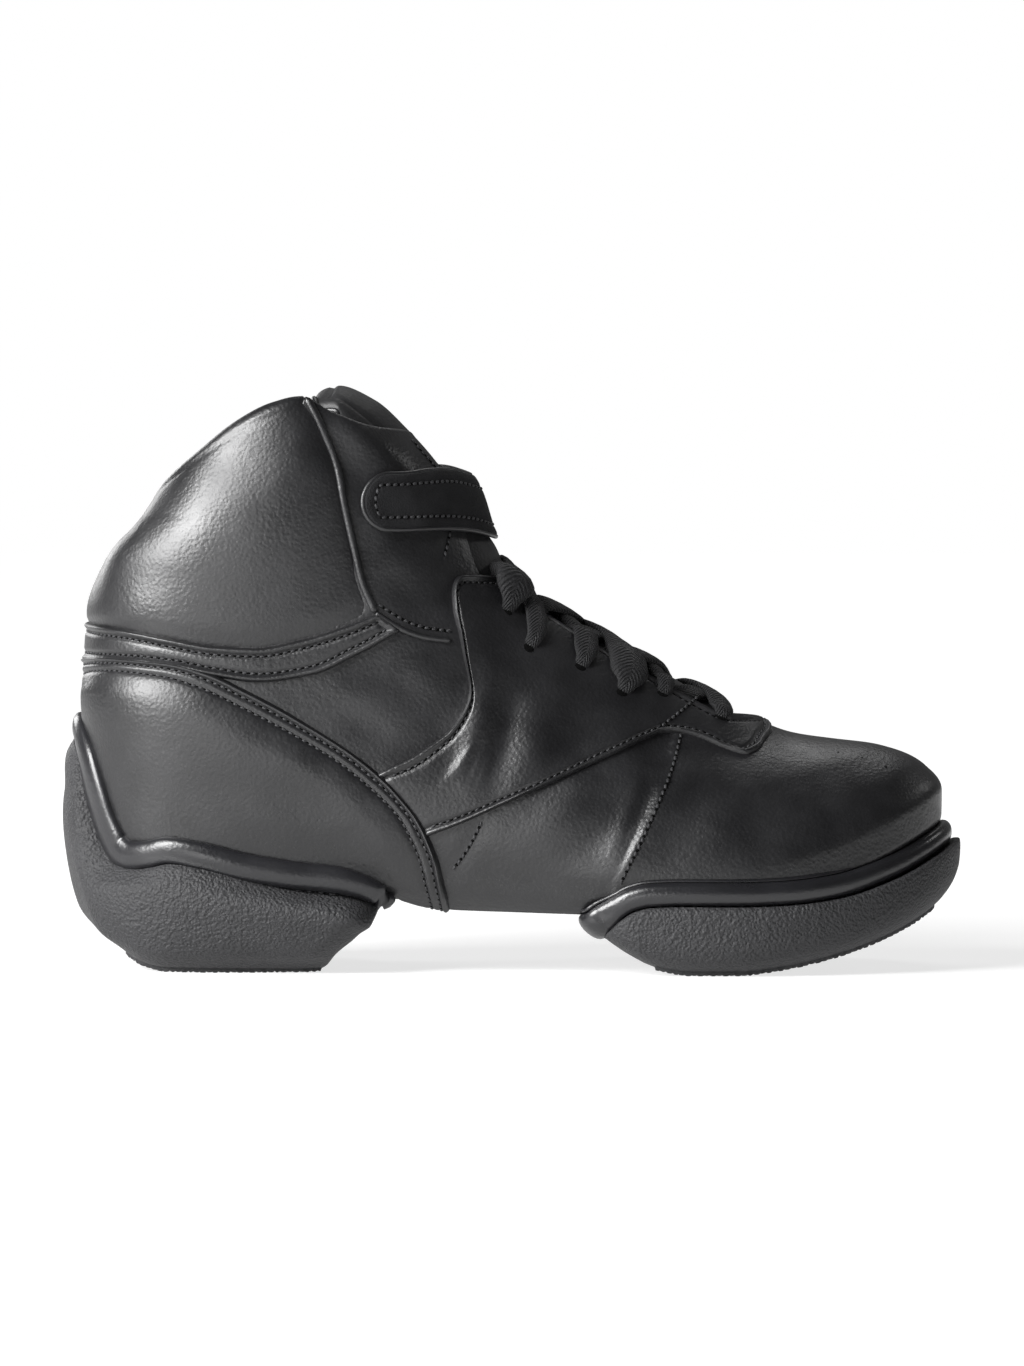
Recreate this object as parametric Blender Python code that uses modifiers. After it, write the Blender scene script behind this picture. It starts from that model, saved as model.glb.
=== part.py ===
"""Right shoe of a leather split-sole high-top dance sneaker, at its real size.

The shoe stands on the flat spots of its two soles at z = 0, its toe towards +X and its
outer side at -Y. Tables and sizes are in millimetres, and the meshes in metres.

The last is a stack of level outlines. "turn" runs round an outline: 0 at the back of the
heel, -pi or +pi at the front, negative on the outer side. "rise" is the height above the
foot line, which is the last's bottom edge with its arch and toe spring.
"""
import math

import bmesh
import bpy
import numpy as np

MM = 0.001

# Driving sizes
GAP = 0.35            # clearance between pieces that touch
OVERLAY_GAP = 0.95    # clearance under the overlays
SEAT_GAP = 0.6        # clearance of the soles round the upper's wall
WALL = 2.0            # leather and lining of the upper
COLLAR_PAD = 6.5      # padded wall at the collar
OVERLAY = 1.3         # leather of counter, band and facing
INSOLE = 4.5          # height of the insole's top above the foot line
INSOLE_TIP = 0.07     # turn at which its blunt ends begin
BREAST_SLANT = 12.0   # heel breast, inner side further forward
TAIL_SLANT = 7.0      # back edge of the forefoot sole, inner side further forward
CORNER = 9.0          # corner radius of both soles in plan
BEAD_CORNER = 5.0     # corner radius of the forefoot bead in plan
BEAD_OUT = 2.4        # half depth of the welt bead
BEAD_UP = 3.4         # half height of the welt bead
ORIGIN = (-0.3, -3.15, 0.0)  # the tables' point below the middle of the whole shoe

# Columns: x, height of the foot line
FOOT_LINE = np.array([
    (-136, 26.0), (-110, 25.0), (-80, 24.5), (-52, 24.2), (-38, 23.2), (-27, 20.4), (-17, 18.6),
    (0, 18.2), (22, 17.8), (45, 17.6), (62, 18.2), (79, 20.5), (95, 25.0), (107, 29.5),
    (120, 36.0), (129, 41.0), (136, 44.5)])

# Columns: rise, back x, front x, outer half widths at heel, waist, ball and toe, inner ones
LAYERS = np.array([
    (0, -116.0, 125.5, 32.0, 31.0, 46.5, 34.0, 31.0, 25.0, 40.0, 32.0),
    (5, -119.5, 128.3, 34.5, 36.5, 48.5, 36.5, 33.5, 31.0, 41.0, 34.5),
    (12, -122.0, 128.4, 35.5, 39.5, 49.5, 36.5, 35.0, 34.5, 43.0, 35.0),
    (22, -124.5, 123.5, 36.0, 41.5, 48.0, 35.0, 35.5, 36.5, 43.0, 34.0),
    (35, -126.3, 110.0, 36.0, 42.0, 43.5, 29.0, 35.5, 37.5, 41.0, 29.0),
    (50, -127.2, 80.0, 35.0, 41.0, 37.5, 23.0, 34.5, 38.0, 36.5, 23.0),
    (65, -127.6, 55.5, 33.0, 40.5, 35.5, 21.0, 32.5, 38.5, 35.0, 21.0),
    (80, -126.5, 29.0, 31.0, 40.0, 36.0, 20.0, 31.0, 39.0, 36.0, 20.0),
    (95, -121.0, 4.0, 28.0, 38.5, 36.5, 20.5, 28.0, 38.0, 36.5, 20.5),
    (110, -111.5, -8.0, 25.5, 36.5, 36.0, 21.0, 25.5, 36.5, 36.0, 21.0),
    (125, -108.5, -13.5, 24.5, 35.5, 35.0, 20.0, 24.5, 35.5, 35.0, 20.0),
    (138, -106.5, -27.0, 23.5, 34.5, 34.0, 19.5, 23.5, 34.5, 34.0, 19.5),
    (152, -104.5, -40.0, 22.5, 33.5, 32.0, 18.5, 22.5, 33.5, 32.0, 18.5)])

# Columns: x, height of the collar rim from the back to the front corner
RIM = np.array([
    (-112, 134.0), (-104, 146.5), (-93, 156.0), (-82, 164.0), (-71, 169.3), (-62.5, 171.3),
    (-54, 166.5), (-43, 162.5), (-32, 161.5)])

# Columns: rise, half width of the throat opening
THROAT = np.array([(58, 12.5), (66, 13.0), (80, 13.5), (95, 13.0), (110, 11.5), (140, 11.0)])
THROAT_FRONT = 53.2   # rise of the closed front end of the throat

# Grid of the upper: shares of the way from the foot line to the rim, cells across the floor
ROWS = np.array([0, 0.025, 0.06, 0.11, 0.18, 0.27, 0.37, 0.48, 0.60, 0.72, 0.84, 0.93, 1])
FLOOR_CELLS = 6
ARCH = (-52.0, 42.0)  # x of the closed leather arch, whose ends lie on the soles
ARCH_RAMP = (14.0, 10.0)  # how far past the arch the insole is lifted, and over what length

# Columns: share of the way up, share of the collar's padding
PAD_SWELL = np.array([(0, 0), (0.55, 0.0), (0.80, 1.0), (0.86, 1.0), (1.0, 0.25)])
PAD_FADE = 12.0       # length over which the padding runs out towards the front corner

# Columns: x, height of the forefoot sole's underside
FOREFOOT_UNDER = np.array([
    (18, 9.5), (24, 8.6), (32, 5.6), (39, 2.6), (46, 0.7), (52, 0.0), (67, 0.0), (79, 1.4),
    (95, 4.7), (112, 10.3), (126, 17.2), (133, 22.2), (137, 25.5)])

# Columns: share of the side's height, margin round the last, x of the back edge
FOREFOOT_WALL = [
    (0.00, -4.2, 44.0), (0.06, -0.4, 37.5), (0.22, 3.0, 31.0), (0.50, 5.4, 26.0),
    (0.80, 6.4, 23.2), (1.00, 6.2, 22.0)]
FOREFOOT_SEAT = [(1.0, 24.0), (0.5, 25.0), (0.0, 26.0)]  # share of the height, x of the back edge
WALL_RISE = 4.0       # rise of the last's outline that both soles' sides follow
TAIL_FADE = (64.0, 24.0)  # x where the tail's slant has faded out, and length of the fade

# Columns: turn, height of the heel sole's top edge, whose tab climbs the back of the heel
HEEL_EDGE = np.array([
    (0.0, 68.3), (0.05, 66.6), (0.09, 62.0), (0.13, 54.0), (0.17, 43.0), (0.21, 35.0), (0.27, 31.5),
    (0.36, 30.6), (0.50, 31.4), (0.59, 32.5), (0.72, 30.7), (0.85, 27.5), (0.99, 25.1),
    (1.09, 23.9), (1.17, 21.4), (1.24, 17.0)])

# Columns: share of the side's height, rise of the outline, margins at back and side, breast x
HEEL_WALL = [
    (0.00, 0.0, -6.0, -0.8, -57.0), (0.05, 0.0, 5.5, 3.4, -54.5), (0.20, 5.0, 11.2, 4.8, -52.0),
    (0.45, 12.0, 12.4, 6.0, -47.0), (0.75, 22.0, 10.4, 6.2, -41.5)]
HEEL_TOP_MARGINS = (6.4, 6.4)
HEEL_ROLL = np.array([(-136, 6.0), (-118, 4.2), (-110, 1.2), (-103, 0.0), (-30, 0.0)])
HEEL_BREAST = -38.0   # outer end of the heel sole's top edge
HEEL_SHARES = (1, 0.75, 0.5, 0.25, 0.12, 0)  # levels of its inner face, from ledge to seat

# Columns of the heel sole from the back to the breast
HEEL_TURNS = np.array([
    0.012, 0.04, 0.07, 0.10, 0.13, 0.16, 0.19, 0.23, 0.28, 0.35, 0.44, 0.54, 0.65, 0.76, 0.87,
    0.97, 1.06, 1.13, 1.18, 1.21, 1.23])
FREE_TURN = 0.76      # from here on the columns slide to meet the breast
INNER_SLIDE = 1.2     # stretch of the inner side's columns towards the slanting breast
HEEL_SPAN = 76.0      # length along the heel's outline for one radian of turn
HEEL_BACK = 0.45      # turn over which the back margin fades to the side margin

# Columns: turn, height of the middle of the heel's welt bead
HEEL_BEAD = np.array([
    (0.0, 72.2), (0.07, 70.6), (0.135, 64.0), (0.18, 54.0), (0.222, 43.0), (0.28, 36.2),
    (0.36, 34.6), (0.50, 35.3), (0.59, 36.5), (0.72, 34.7), (0.85, 31.6), (0.99, 29.2),
    (1.09, 28.1), (1.16, 26.6), (1.22, 22.8)])

# Columns: x, height of the middle of the forefoot's welt bead
FOREFOOT_BEAD = np.array([
    (17, 13.6), (23, 13.9), (29, 17.6), (36, 22.2), (44, 24.2), (67, 24.3), (79, 24.6), (95, 26.3),
    (112, 31.3), (126, 38.2), (133, 42.6), (137, 44.8)])
BEAD_TAIL = 19.0      # x of the bead where it crosses under the arch, on the outer side

# Columns: x and height of the tongue's middle line, half width, cross radius
TONGUE = np.array([
    (84.0, 61.5, 14.0, 19.0), (70.0, 71.0, 16.0, 19.0), (55.0, 80.6, 17.0, 19.0),
    (38.0, 91.5, 17.5, 19.0), (20.0, 101.3, 18.0, 19.0), (3.0, 111.4, 18.0, 18.6),
    (-8.2, 124.4, 18.0, 18.6), (-14.6, 137.6, 18.0, 18.6), (-22.0, 150.0, 19.0, 20.0),
    (-31.5, 161.0, 20.0, 22.0), (-41.5, 170.0, 21.0, 26.0), (-52.0, 174.3, 20.0, 32.0),
    (-60.0, 172.0, 17.0, 36.0)])
TONGUE_THICK = 4.5

# Columns: x, height of the counter's top edge on either side
COUNTER_TOP = np.array([
    (-127.6, 92.6), (-118, 93.0), (-102, 92.0), (-90, 88.0), (-78, 81.4), (-66, 75.0), (-54, 67.8),
    (-41.5, 60.0), (-33.5, 52.5), (-27.5, 45.5), (-23.5, 38.0), (-21, 30.0), (-19.5, 22.0)])

# Columns: x, heights of the ankle band's lower and upper edge
ANKLE_BAND = np.array([
    (-127.6, 94.2, 103.5), (-114, 94.0, 101.4), (-102, 92.9, 98.6), (-88, 90.3, 96.3), (-76, 88.8, 96.3),
    (-62, 90.2, 98.8), (-50, 94.4, 102.3), (-40, 99.0, 105.6)])

# Columns: x and height of the facing's outer edge, x and height of its rear edge
FACING_REAR = np.array([
    (-35.5, 57.5, -33.5, 61.0), (-30.5, 51.0, -25.3, 67.0), (-25.0, 44.2, -17.5, 73.4),
    (-19.0, 43.0, -13.4, 82.0), (-12.5, 45.8, -15.4, 96.0), (-6.5, 48.5, -17.6, 109.0),
    (-1.0, 51.2, -14.5, 117.5)])

# Columns: x and height of the facing's outer edge, rise of its edge along the throat
FACING_FRONT = np.array([
    (5.0, 53.8, 102.5), (13.0, 57.2, 93.0), (22.0, 61.3, 85.0), (31.0, 65.3, 77.5), (38.5, 68.8, 71.0),
    (44.5, 70.8, 66.0), (50.5, 70.2, 62.0), (57.0, 68.4, 59.0), (65.0, 65.4, 57.6), (72.5, 64.2, 56.8),
    (77.0, 66.2, 56.0), (79.2, 68.8, 55.2)])
FACING_TIP = 50.2     # rise of the facing's front edge in the middle

# Strap across the front of the ankle, fastened on the outer side
STRAP_END = -44.8     # x of its round end
STRAP_ROOT = -38.0    # x of its sewn end on the inner side
STRAP_LOW = 132.4
STRAP_HIGH = (148.6, 150.6)
STRAP_THICK = 2.2
STRAP_SLACK = 3.0     # how far it stands off the tongue
STRAP_DROP = 3.5      # how far it is drawn down at the front
STRAP_BLUNT = 0.98    # share of its half height that the round end covers
STRAP_BELLY = 0.4     # turn over which it comes back to the upper

# Rises of the lace holes, and the lace's own sizes
LACE_RISES = (99.0, 90.5, 82.0, 74.0, 66.5, 60.0)
LACE_RADIUS = 1.7
LACE_REACH = 4.5      # from the throat's edge to the lace's turn
LACE_TURN = 2.3       # half the distance between the two legs of a turn
LACE_DRAW = 3.0       # how far the legs of a turn are drawn towards the middle
LACE_DIP = 1.0        # how far the lowest bar sags in the middle


def smooth(table, at):
    """Monotone cubic through a table's rows: its first column in, the others out."""
    knots, values = table[:, 0], table[:, 1:]
    step = np.diff(knots)
    slope = np.diff(values, axis=0) / step[:, None]
    before, after = slope[:-1], slope[1:]
    rising = before * after > 0
    total = np.where(rising, before + after, 1.0)
    tangent = np.vstack([slope[:1], np.where(rising, 2 * before * after / total, 0.0), slope[-1:]])
    at = np.clip(np.asarray(at, float), knots[0], knots[-1])
    i = np.clip(np.searchsorted(knots, at, side="right") - 1, 0, len(step) - 1)
    t = ((at - knots[i]) / step[i])[..., None]
    span = step[i][..., None]
    ends = values[i] * (1 + 2 * t) * (1 - t) ** 2 + values[i + 1] * t ** 2 * (3 - 2 * t)
    return ends + span * (tangent[i] * t * (1 - t) ** 2 + tangent[i + 1] * t ** 2 * (t - 1))


def foot_line(x):
    """Height of the last's bottom edge at x."""
    return smooth(FOOT_LINE, x)[..., 0]


STATIONS = np.arange(1, 5)
SINES = 0.4 * np.sin(np.outer(STATIONS, STATIONS) * math.pi / 5)


def last_point(turn, rise):
    """Point on the last: a sine series through four half widths on each side of an outline."""
    turn, rise = np.broadcast_arrays(np.asarray(turn, float), np.asarray(rise, float))
    turn = (turn + math.pi) % (2 * math.pi) - math.pi
    row = smooth(LAYERS, rise)
    x = row[..., 0] + (row[..., 1] - row[..., 0]) * (1 - np.cos(turn)) / 2
    half = np.where((turn < 0)[..., None], row[..., 2:6], row[..., 6:10])
    y = ((half @ SINES) * np.sin(turn[..., None] * STATIONS)).sum(axis=-1)
    return np.stack([x, y, rise + foot_line(x)], axis=-1)


def last_normal(turn, rise):
    """Outward unit normal of the last, from small steps along and up."""
    along = last_point(turn + 0.002, rise) - last_point(turn - 0.002, rise)
    up = last_point(turn, rise + 0.3) - last_point(turn, rise - 0.3)
    normal = np.cross(up, along)
    return normal / np.linalg.norm(normal, axis=-1, keepdims=True)


def on_last(turn, rise, lift):
    """Point at a distance outside the last."""
    lift = np.asarray(lift, float)[..., None]
    return last_point(turn, rise) + lift * last_normal(turn, rise)


def turn_at(x, rise):
    """Unsigned turn of the point that the side view shows at x and rise."""
    row = smooth(LAYERS, rise)
    share = (x - row[..., 0]) / (row[..., 1] - row[..., 0])
    return np.arccos(np.clip(1 - 2 * share, -1, 1))


def throat_turn(rise, half_gap, side):
    """Turn at which the last is half_gap away from the middle, near its front, by bisection."""
    near, far = np.zeros_like(rise), np.full_like(rise, 1.3)
    for _ in range(40):
        middle = (near + far) / 2
        wide = np.abs(last_point(side * (math.pi - middle), rise)[..., 1]) > half_gap
        far = np.where(wide, middle, far)
        near = np.where(wide, near, middle)
    return math.pi - (near + far) / 2


def outline(turn, rise, margin):
    """Level outline round the last: points at a plan distance from it, outer and inner side."""
    sides = []
    for side in (-1, 1):
        here = last_point(side * turn, rise)
        step = last_point(side * (turn + 0.002), rise) - last_point(side * (turn - 0.002), rise)
        normal = np.stack([step[..., 1], -step[..., 0]], axis=-1) * -side
        normal /= np.linalg.norm(normal, axis=-1, keepdims=True)
        sides.append(here[..., :2] + np.asarray(margin, float)[..., None] * normal)
    return sides


def rounded(distance, radius):
    """How far a plan corner of a radius draws in at a distance from its end."""
    short = np.clip(radius - distance, 0, radius)
    return radius - np.sqrt(np.maximum(radius ** 2 - short ** 2, 0))


def new_object(name, vertices, faces, material, collection):
    """Mesh object from points in millimetres."""
    vertices = np.asarray(vertices, float).reshape(-1, 3) - ORIGIN
    mesh = bpy.data.meshes.new(name)
    mesh.from_pydata((vertices * MM).tolist(), [], faces)
    mesh.materials.append(material)
    mesh.shade_smooth()
    mesh.set_sharp_from_angle(angle=math.radians(45))
    made = bpy.data.objects.new(name, mesh)
    collection.objects.link(made)
    return made


def mirrored(turn):
    """Turns from the outer to the inner side, from those of one side that start at zero."""
    return np.concatenate([-turn[:0:-1], turn])


def grid_faces(rows, columns, cyclic_rows=False, cyclic_columns=False):
    """Quads of a grid whose points are numbered row by row."""
    faces = []
    for r in range(rows if cyclic_rows else rows - 1):
        for c in range(columns if cyclic_columns else columns - 1):
            down, right = (r + 1) % rows, (c + 1) % columns
            faces.append((r * columns + c, r * columns + right,
                          down * columns + right, down * columns + c))
    return faces


def outward(made):
    """Turn the faces of a closed mesh outwards."""
    work = bmesh.new()
    work.from_mesh(made.data)
    bmesh.ops.recalc_face_normals(work, faces=work.faces)
    work.to_mesh(made.data)
    work.free()
    return made


def stacked(name, rings, material, collection):
    """Solid between rings of outer and inner side points, capped by strips across."""
    rings = [np.concatenate([outer, inner[::-1]]) for outer, inner in rings]
    size = len(rings[0])
    faces = grid_faces(len(rings), size, cyclic_columns=True)
    for base in (0, (len(rings) - 1) * size):
        for j in range(size // 2 - 1):
            faces.append((base + j, base + j + 1, base + size - 2 - j, base + size - 1 - j))
    return outward(new_object(name, np.concatenate(rings), faces, material, collection))


def solidify(made, thickness, offset):
    """Wall of an open surface, grown outwards for offset 1 and inwards for -1."""
    wall = made.modifiers.new("wall", "SOLIDIFY")
    wall.thickness = thickness * MM
    wall.offset = offset
    wall.use_even_offset = True
    return wall


def upper_columns():
    """Base turn, top turn of each side and top rise for each column from heel to toe."""
    rim_count, throat_count, end_count = 13, 12, 9
    share = np.arange(rim_count) / rim_count
    x = np.linspace(RIM[0, 0], RIM[-1, 0], 400)
    seen = turn_at(x, smooth(RIM, x)[:, 0] - foot_line(x))
    behind = max(np.count_nonzero(seen == 0) - 1, 0)
    x = np.interp(seen[-1] * share, seen[behind:], x[behind:])
    rim_rise = smooth(RIM, x)[:, 0] - foot_line(x)
    rim_turn = seen[-1] * share
    top, low = RIM[-1, 1] - foot_line(RIM[-1, 0]), THROAT[0, 0]
    rise = top + (low - top) * np.linspace(0, 1, throat_count)
    gap = smooth(THROAT, rise)[:, 0]
    arc = np.linspace(0, math.pi / 2, end_count + 1)[1:]
    rise = np.concatenate([rise, low - (low - THROAT_FRONT) * np.sin(arc)])
    gap = np.concatenate([gap, THROAT[0, 1] * np.cos(arc)])
    turns = [np.concatenate([rim_turn, throat_turn(rise, gap, side)]) for side in (-1, 1)]
    for turn in turns:
        turn[-1] = math.pi
    corner, bend = 0.44 * math.pi, 0.70 * math.pi
    base = np.concatenate([corner * share, np.linspace(corner, bend, throat_count),
                           np.linspace(bend, math.pi, end_count + 1)[1:]])
    return base, turns, np.concatenate([rim_rise, rise])


def make_upper(material, collection):
    """Hollow upper: walls up to rim and throat, and a floor at the arch only."""
    base, turns, top_rise = upper_columns()
    sides = []
    for side, top in zip((-1, 1), turns):
        turn = base[:, None] + (top - base)[:, None] * ROWS
        sides.append(last_point(side * turn, top_rise[:, None] * ROWS))
    count = len(base)
    ring = np.concatenate([sides[0], sides[1][-2:0:-1]])
    faces = grid_faces(len(ring), len(ROWS), cyclic_rows=True)
    faces = [face[::-1] for face in faces]
    points = [ring.reshape(-1, 3)]
    used = len(ring) * len(ROWS)
    columns = [i for i in range(count) if ARCH[0] <= sides[0][i, 0, 0] <= ARCH[1]]
    strips = []
    for i in columns:
        across = np.linspace(0, 1, FLOOR_CELLS + 1)[1:-1, None]
        points.append(sides[0][i, 0] + (sides[1][i, 0] - sides[0][i, 0]) * across)
        inner = list(range(used, used + FLOOR_CELLS - 1))
        used += FLOOR_CELLS - 1
        strips.append([i * len(ROWS)] + inner + [(len(ring) - i) * len(ROWS)])
    for here, after in zip(strips[:-1], strips[1:]):
        for j in range(FLOOR_CELLS):
            faces.append((here[j], here[j + 1], after[j + 1], after[j]))
    made = new_object("upper", np.concatenate(points), faces, material, collection)
    wall = solidify(made, COLLAR_PAD, -1)
    wall.thickness_vertex_group = WALL / COLLAR_PAD
    pad = made.vertex_groups.new(name="collar")
    wall.vertex_group = pad.name
    swell = smooth(PAD_SWELL, ROWS)[:, 0]
    for i in range(len(ring)):
        column = min(i, len(ring) - i)
        fade = np.clip((RIM[-2, 0] - sides[0][column, -1, 0]) / PAD_FADE, 0, 1)
        for r, weight in enumerate(fade * swell):
            pad.add([i * len(ROWS) + r], float(weight), "REPLACE")
    return made


def make_insole(material, collection):
    """Insole inside the upper's wall, on the soles and on the arch floor."""
    turn = np.linspace(INSOLE_TIP, math.pi - INSOLE_TIP, 34)
    inset = -(WALL + 5 * GAP)
    rings = []
    for rise, lower in ((0.0, True), (INSOLE, False)):
        pair = []
        for flat in outline(turn, rise, np.full_like(turn, inset)):
            x = flat[:, 0]
            past, ramp = ARCH_RAMP
            over_arch = np.clip(np.minimum(x - ARCH[0] + past, ARCH[1] + past - x) / ramp, 0, 1)
            lift = GAP + (WALL + GAP) * over_arch if lower else np.full_like(x, rise)
            pair.append(np.column_stack([flat, foot_line(x) + lift]))
        rings.append(pair)
    return stacked("insole", rings, material, collection)


def unslanted(x, slant):
    """x as the outer side has it: the tail's slant fades out along the forefoot."""
    end, length = TAIL_FADE
    return x - slant * np.clip((end - x) / length, 0, 1)


def ledge_height(x):
    """Top of the forefoot sole's side: under the bead, measured square to its slope."""
    slope = (smooth(FOREFOOT_BEAD, x + 0.5) - smooth(FOREFOOT_BEAD, x - 0.5))[..., 0]
    return smooth(FOREFOOT_BEAD, x)[..., 0] - (BEAD_UP + GAP) * np.sqrt(1 + slope ** 2)


def forefoot_ring(margin, back, rise, height, corner=CORNER):
    """Ring round the forefoot: rise and height are worked out from x."""
    spread = (1 - np.cos(np.linspace(0, math.pi, 25))) / 2
    dense = np.linspace(0.9, math.pi, 600)
    pair = []
    for side, slant in enumerate((0, TAIL_SLANT)):
        rises = rise(unslanted(last_point(dense, WALL_RISE)[:, 0], slant))
        flat = outline(dense, rises, np.full_like(dense, margin))[side]
        start = back + slant
        x = start + (flat[-1, 0] - 0.15 - start) * spread
        y = np.interp(x, flat[:, 0], flat[:, 1])
        y -= np.sign(y) * rounded(x - start, corner)
        pair.append(np.column_stack([x, y, height(x, unslanted(x, slant))]))
    return pair


def make_outsole_forefoot(material, collection):
    """Forefoot sole: rounded tread edge, side, ledge for the welt and seat under the last."""
    def side_height(share):
        def height(x, level):
            return (1 - share) * smooth(FOREFOOT_UNDER, level)[:, 0] + share * ledge_height(level)
        return height

    def ledge_rise(share):
        return lambda x: share * np.clip(ledge_height(x) - foot_line(x), 0, None)

    def seat_height(share):
        return lambda x, level: share * ledge_height(level) + (1 - share) * (foot_line(x) - GAP)

    def low_rise(x):
        return np.full_like(x, WALL_RISE)

    rings = [forefoot_ring(margin, back, low_rise, side_height(share))
             for share, margin, back in FOREFOOT_WALL]
    rings += [forefoot_ring(SEAT_GAP, back, ledge_rise(share), seat_height(share))
              for share, back in FOREFOOT_SEAT]
    return stacked("outsole_forefoot", rings, material, collection)


def heel_ring(margins, breast, rise, height):
    """Ring of the heel sole, from the back of the heel to its slanting breast."""
    pair = []
    dense = np.linspace(0, 1.6, 400)

    def margin_at(turn):
        return margins[1] + (margins[0] - margins[1]) * np.exp(-(turn / HEEL_BACK) ** 2)

    for side, slant in enumerate((0, BREAST_SLANT)):
        reach = outline(dense, WALL_RISE, margin_at(dense))[side]
        end = np.interp(breast + slant, reach[:, 0], dense)
        late = (HEEL_TURNS - FREE_TURN) / (HEEL_TURNS[-1] - FREE_TURN)
        turn = np.where(late > 0, FREE_TURN + late * (end - FREE_TURN), HEEL_TURNS)
        flat = outline(turn, rise(last_point(turn, WALL_RISE)[:, 0]), margin_at(turn))[side]
        x, y = flat.T
        y = y - np.sign(y) * rounded(x[-1] - x, CORNER)
        pair.append(np.column_stack([x, y, height(x)]))
    return pair


def make_outsole_heel(material, collection):
    """Heel sole: rolled back, side, tab up the heel, ledge and seat under the last."""
    edge = smooth(HEEL_EDGE, HEEL_TURNS)[:, 0]

    def side_height(share):
        return lambda x: (1 - share) * smooth(HEEL_ROLL, x)[:, 0] + share * edge

    def climb(share):
        return lambda x: share * np.clip(edge - foot_line(x), 0, None)

    def level(rise):
        return lambda x: np.full_like(x, rise)

    rings = [heel_ring((back, side), breast, level(rise), side_height(share))
             for share, rise, back, side, breast in HEEL_WALL]
    rings.append(heel_ring(HEEL_TOP_MARGINS, HEEL_BREAST, climb(1), side_height(1)))
    for share in HEEL_SHARES:
        rings.append(heel_ring(
            (SEAT_GAP, SEAT_GAP), HEEL_BREAST - 4 + 2 * share, climb(share),
            lambda x, share=share: share * edge + (1 - share) * (foot_line(x) - SEAT_GAP)))
    return stacked("outsole_heel", rings, material, collection)


def sweep(name, path, facing, half_out, half_up, closed, material, collection):
    """Bead of oval section along a path, its depth turned towards the facing vectors."""
    tangent = np.gradient(path, axis=0)
    if closed:
        tangent = np.roll(path, -1, axis=0) - np.roll(path, 1, axis=0)
    tangent /= np.linalg.norm(tangent, axis=1, keepdims=True)
    facing = facing - tangent * (facing * tangent).sum(axis=1, keepdims=True)
    facing /= np.linalg.norm(facing, axis=1, keepdims=True)
    upward = np.cross(tangent, facing)
    angle = np.arange(6) * math.tau / 6
    rings = (path[:, None] + half_out * np.cos(angle)[:, None] * facing[:, None]
             + half_up * np.sin(angle)[:, None] * upward[:, None])
    faces = grid_faces(len(path), len(angle), closed, True)
    if not closed:
        last = (len(path) - 1) * len(angle)
        faces += [tuple(range(len(angle))), tuple(range(last, last + len(angle)))]
    return outward(new_object(name, rings, faces, material, collection))


def make_welt_heel(material, collection):
    """Bead along the heel sole's top edge, over the tab and down the other side."""
    turn = mirrored(np.concatenate([np.linspace(0, 0.37, 13), np.linspace(0.42, 1.2, 12)]))
    height = smooth(HEEL_BEAD, np.abs(turn))[:, 0]
    turn = np.where(turn > FREE_TURN, FREE_TURN + (turn - FREE_TURN) * INNER_SLIDE, turn)
    rise = height - foot_line(last_point(turn, height - 25)[:, 0])
    facing = last_normal(turn, rise) * (1, 1, 0)
    facing /= np.linalg.norm(facing, axis=1, keepdims=True)
    path = last_point(turn, rise + BEAD_UP / 2) + (GAP + BEAD_OUT) * facing
    path[:, 2] = height
    return sweep("welt_heel", path, facing, BEAD_OUT, BEAD_UP, False, material, collection)


def make_welt_forefoot(material, collection):
    """Bead round the forefoot and across its back edge, under the arch."""
    def bead_rise(x):
        return np.clip(smooth(FOREFOOT_BEAD, x)[:, 0] - foot_line(x) + BEAD_UP / 2, BEAD_UP / 2, None)

    outer, inner = forefoot_ring(GAP + BEAD_OUT, BEAD_TAIL, bead_rise,
                                 lambda x, level: smooth(FOREFOOT_BEAD, level)[:, 0], BEAD_CORNER)
    tail = np.linspace(inner[0], outer[0], 7)[1:-1]
    path = np.concatenate([outer, inner[::-1], tail])
    step = np.roll(path, -1, axis=0) - np.roll(path, 1, axis=0)
    facing = np.column_stack([step[:, 1], -step[:, 0], np.zeros(len(path))])
    return sweep("welt_forefoot", path, facing, BEAD_OUT, BEAD_UP, True, material, collection)


def make_tongue(material, collection):
    """Padded tongue: arched sections along its middle line, up to the domed top."""
    knots = np.arange(len(TONGUE))
    row = smooth(np.column_stack([knots, TONGUE]), np.linspace(0, knots[-1], 23))
    middle = np.column_stack([row[:, 0], np.zeros(len(row)), row[:, 1]])
    run = np.gradient(middle, axis=0)
    run /= np.linalg.norm(run, axis=1, keepdims=True)
    normal = np.column_stack([run[:, 2], np.zeros(len(row)), -run[:, 0]])
    across = np.linspace(-1, 1, 9)
    y = row[:, 2:3] * across
    drop = row[:, 3:4] - np.sqrt(row[:, 3:4] ** 2 - y ** 2)
    points = middle[:, None] - drop[..., None] * normal[:, None]
    points[..., 1] = y
    made = new_object("tongue", points, grid_faces(len(row), len(across)), material, collection)
    solidify(made, TONGUE_THICK, -1)
    return made


def side_curve(x, height):
    """Turn and rise of points given in the side view."""
    rise = height - foot_line(x)
    return turn_at(x, rise), rise


def edge_rise(table, column, turn):
    """Rise at which an edge drawn in the side view crosses each turn."""
    x = np.linspace(table[0, 0], table[-1, 0], 400)
    seen, rise = side_curve(x, smooth(table, x)[:, column])
    return np.interp(turn, np.maximum.accumulate(seen), rise)


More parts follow.
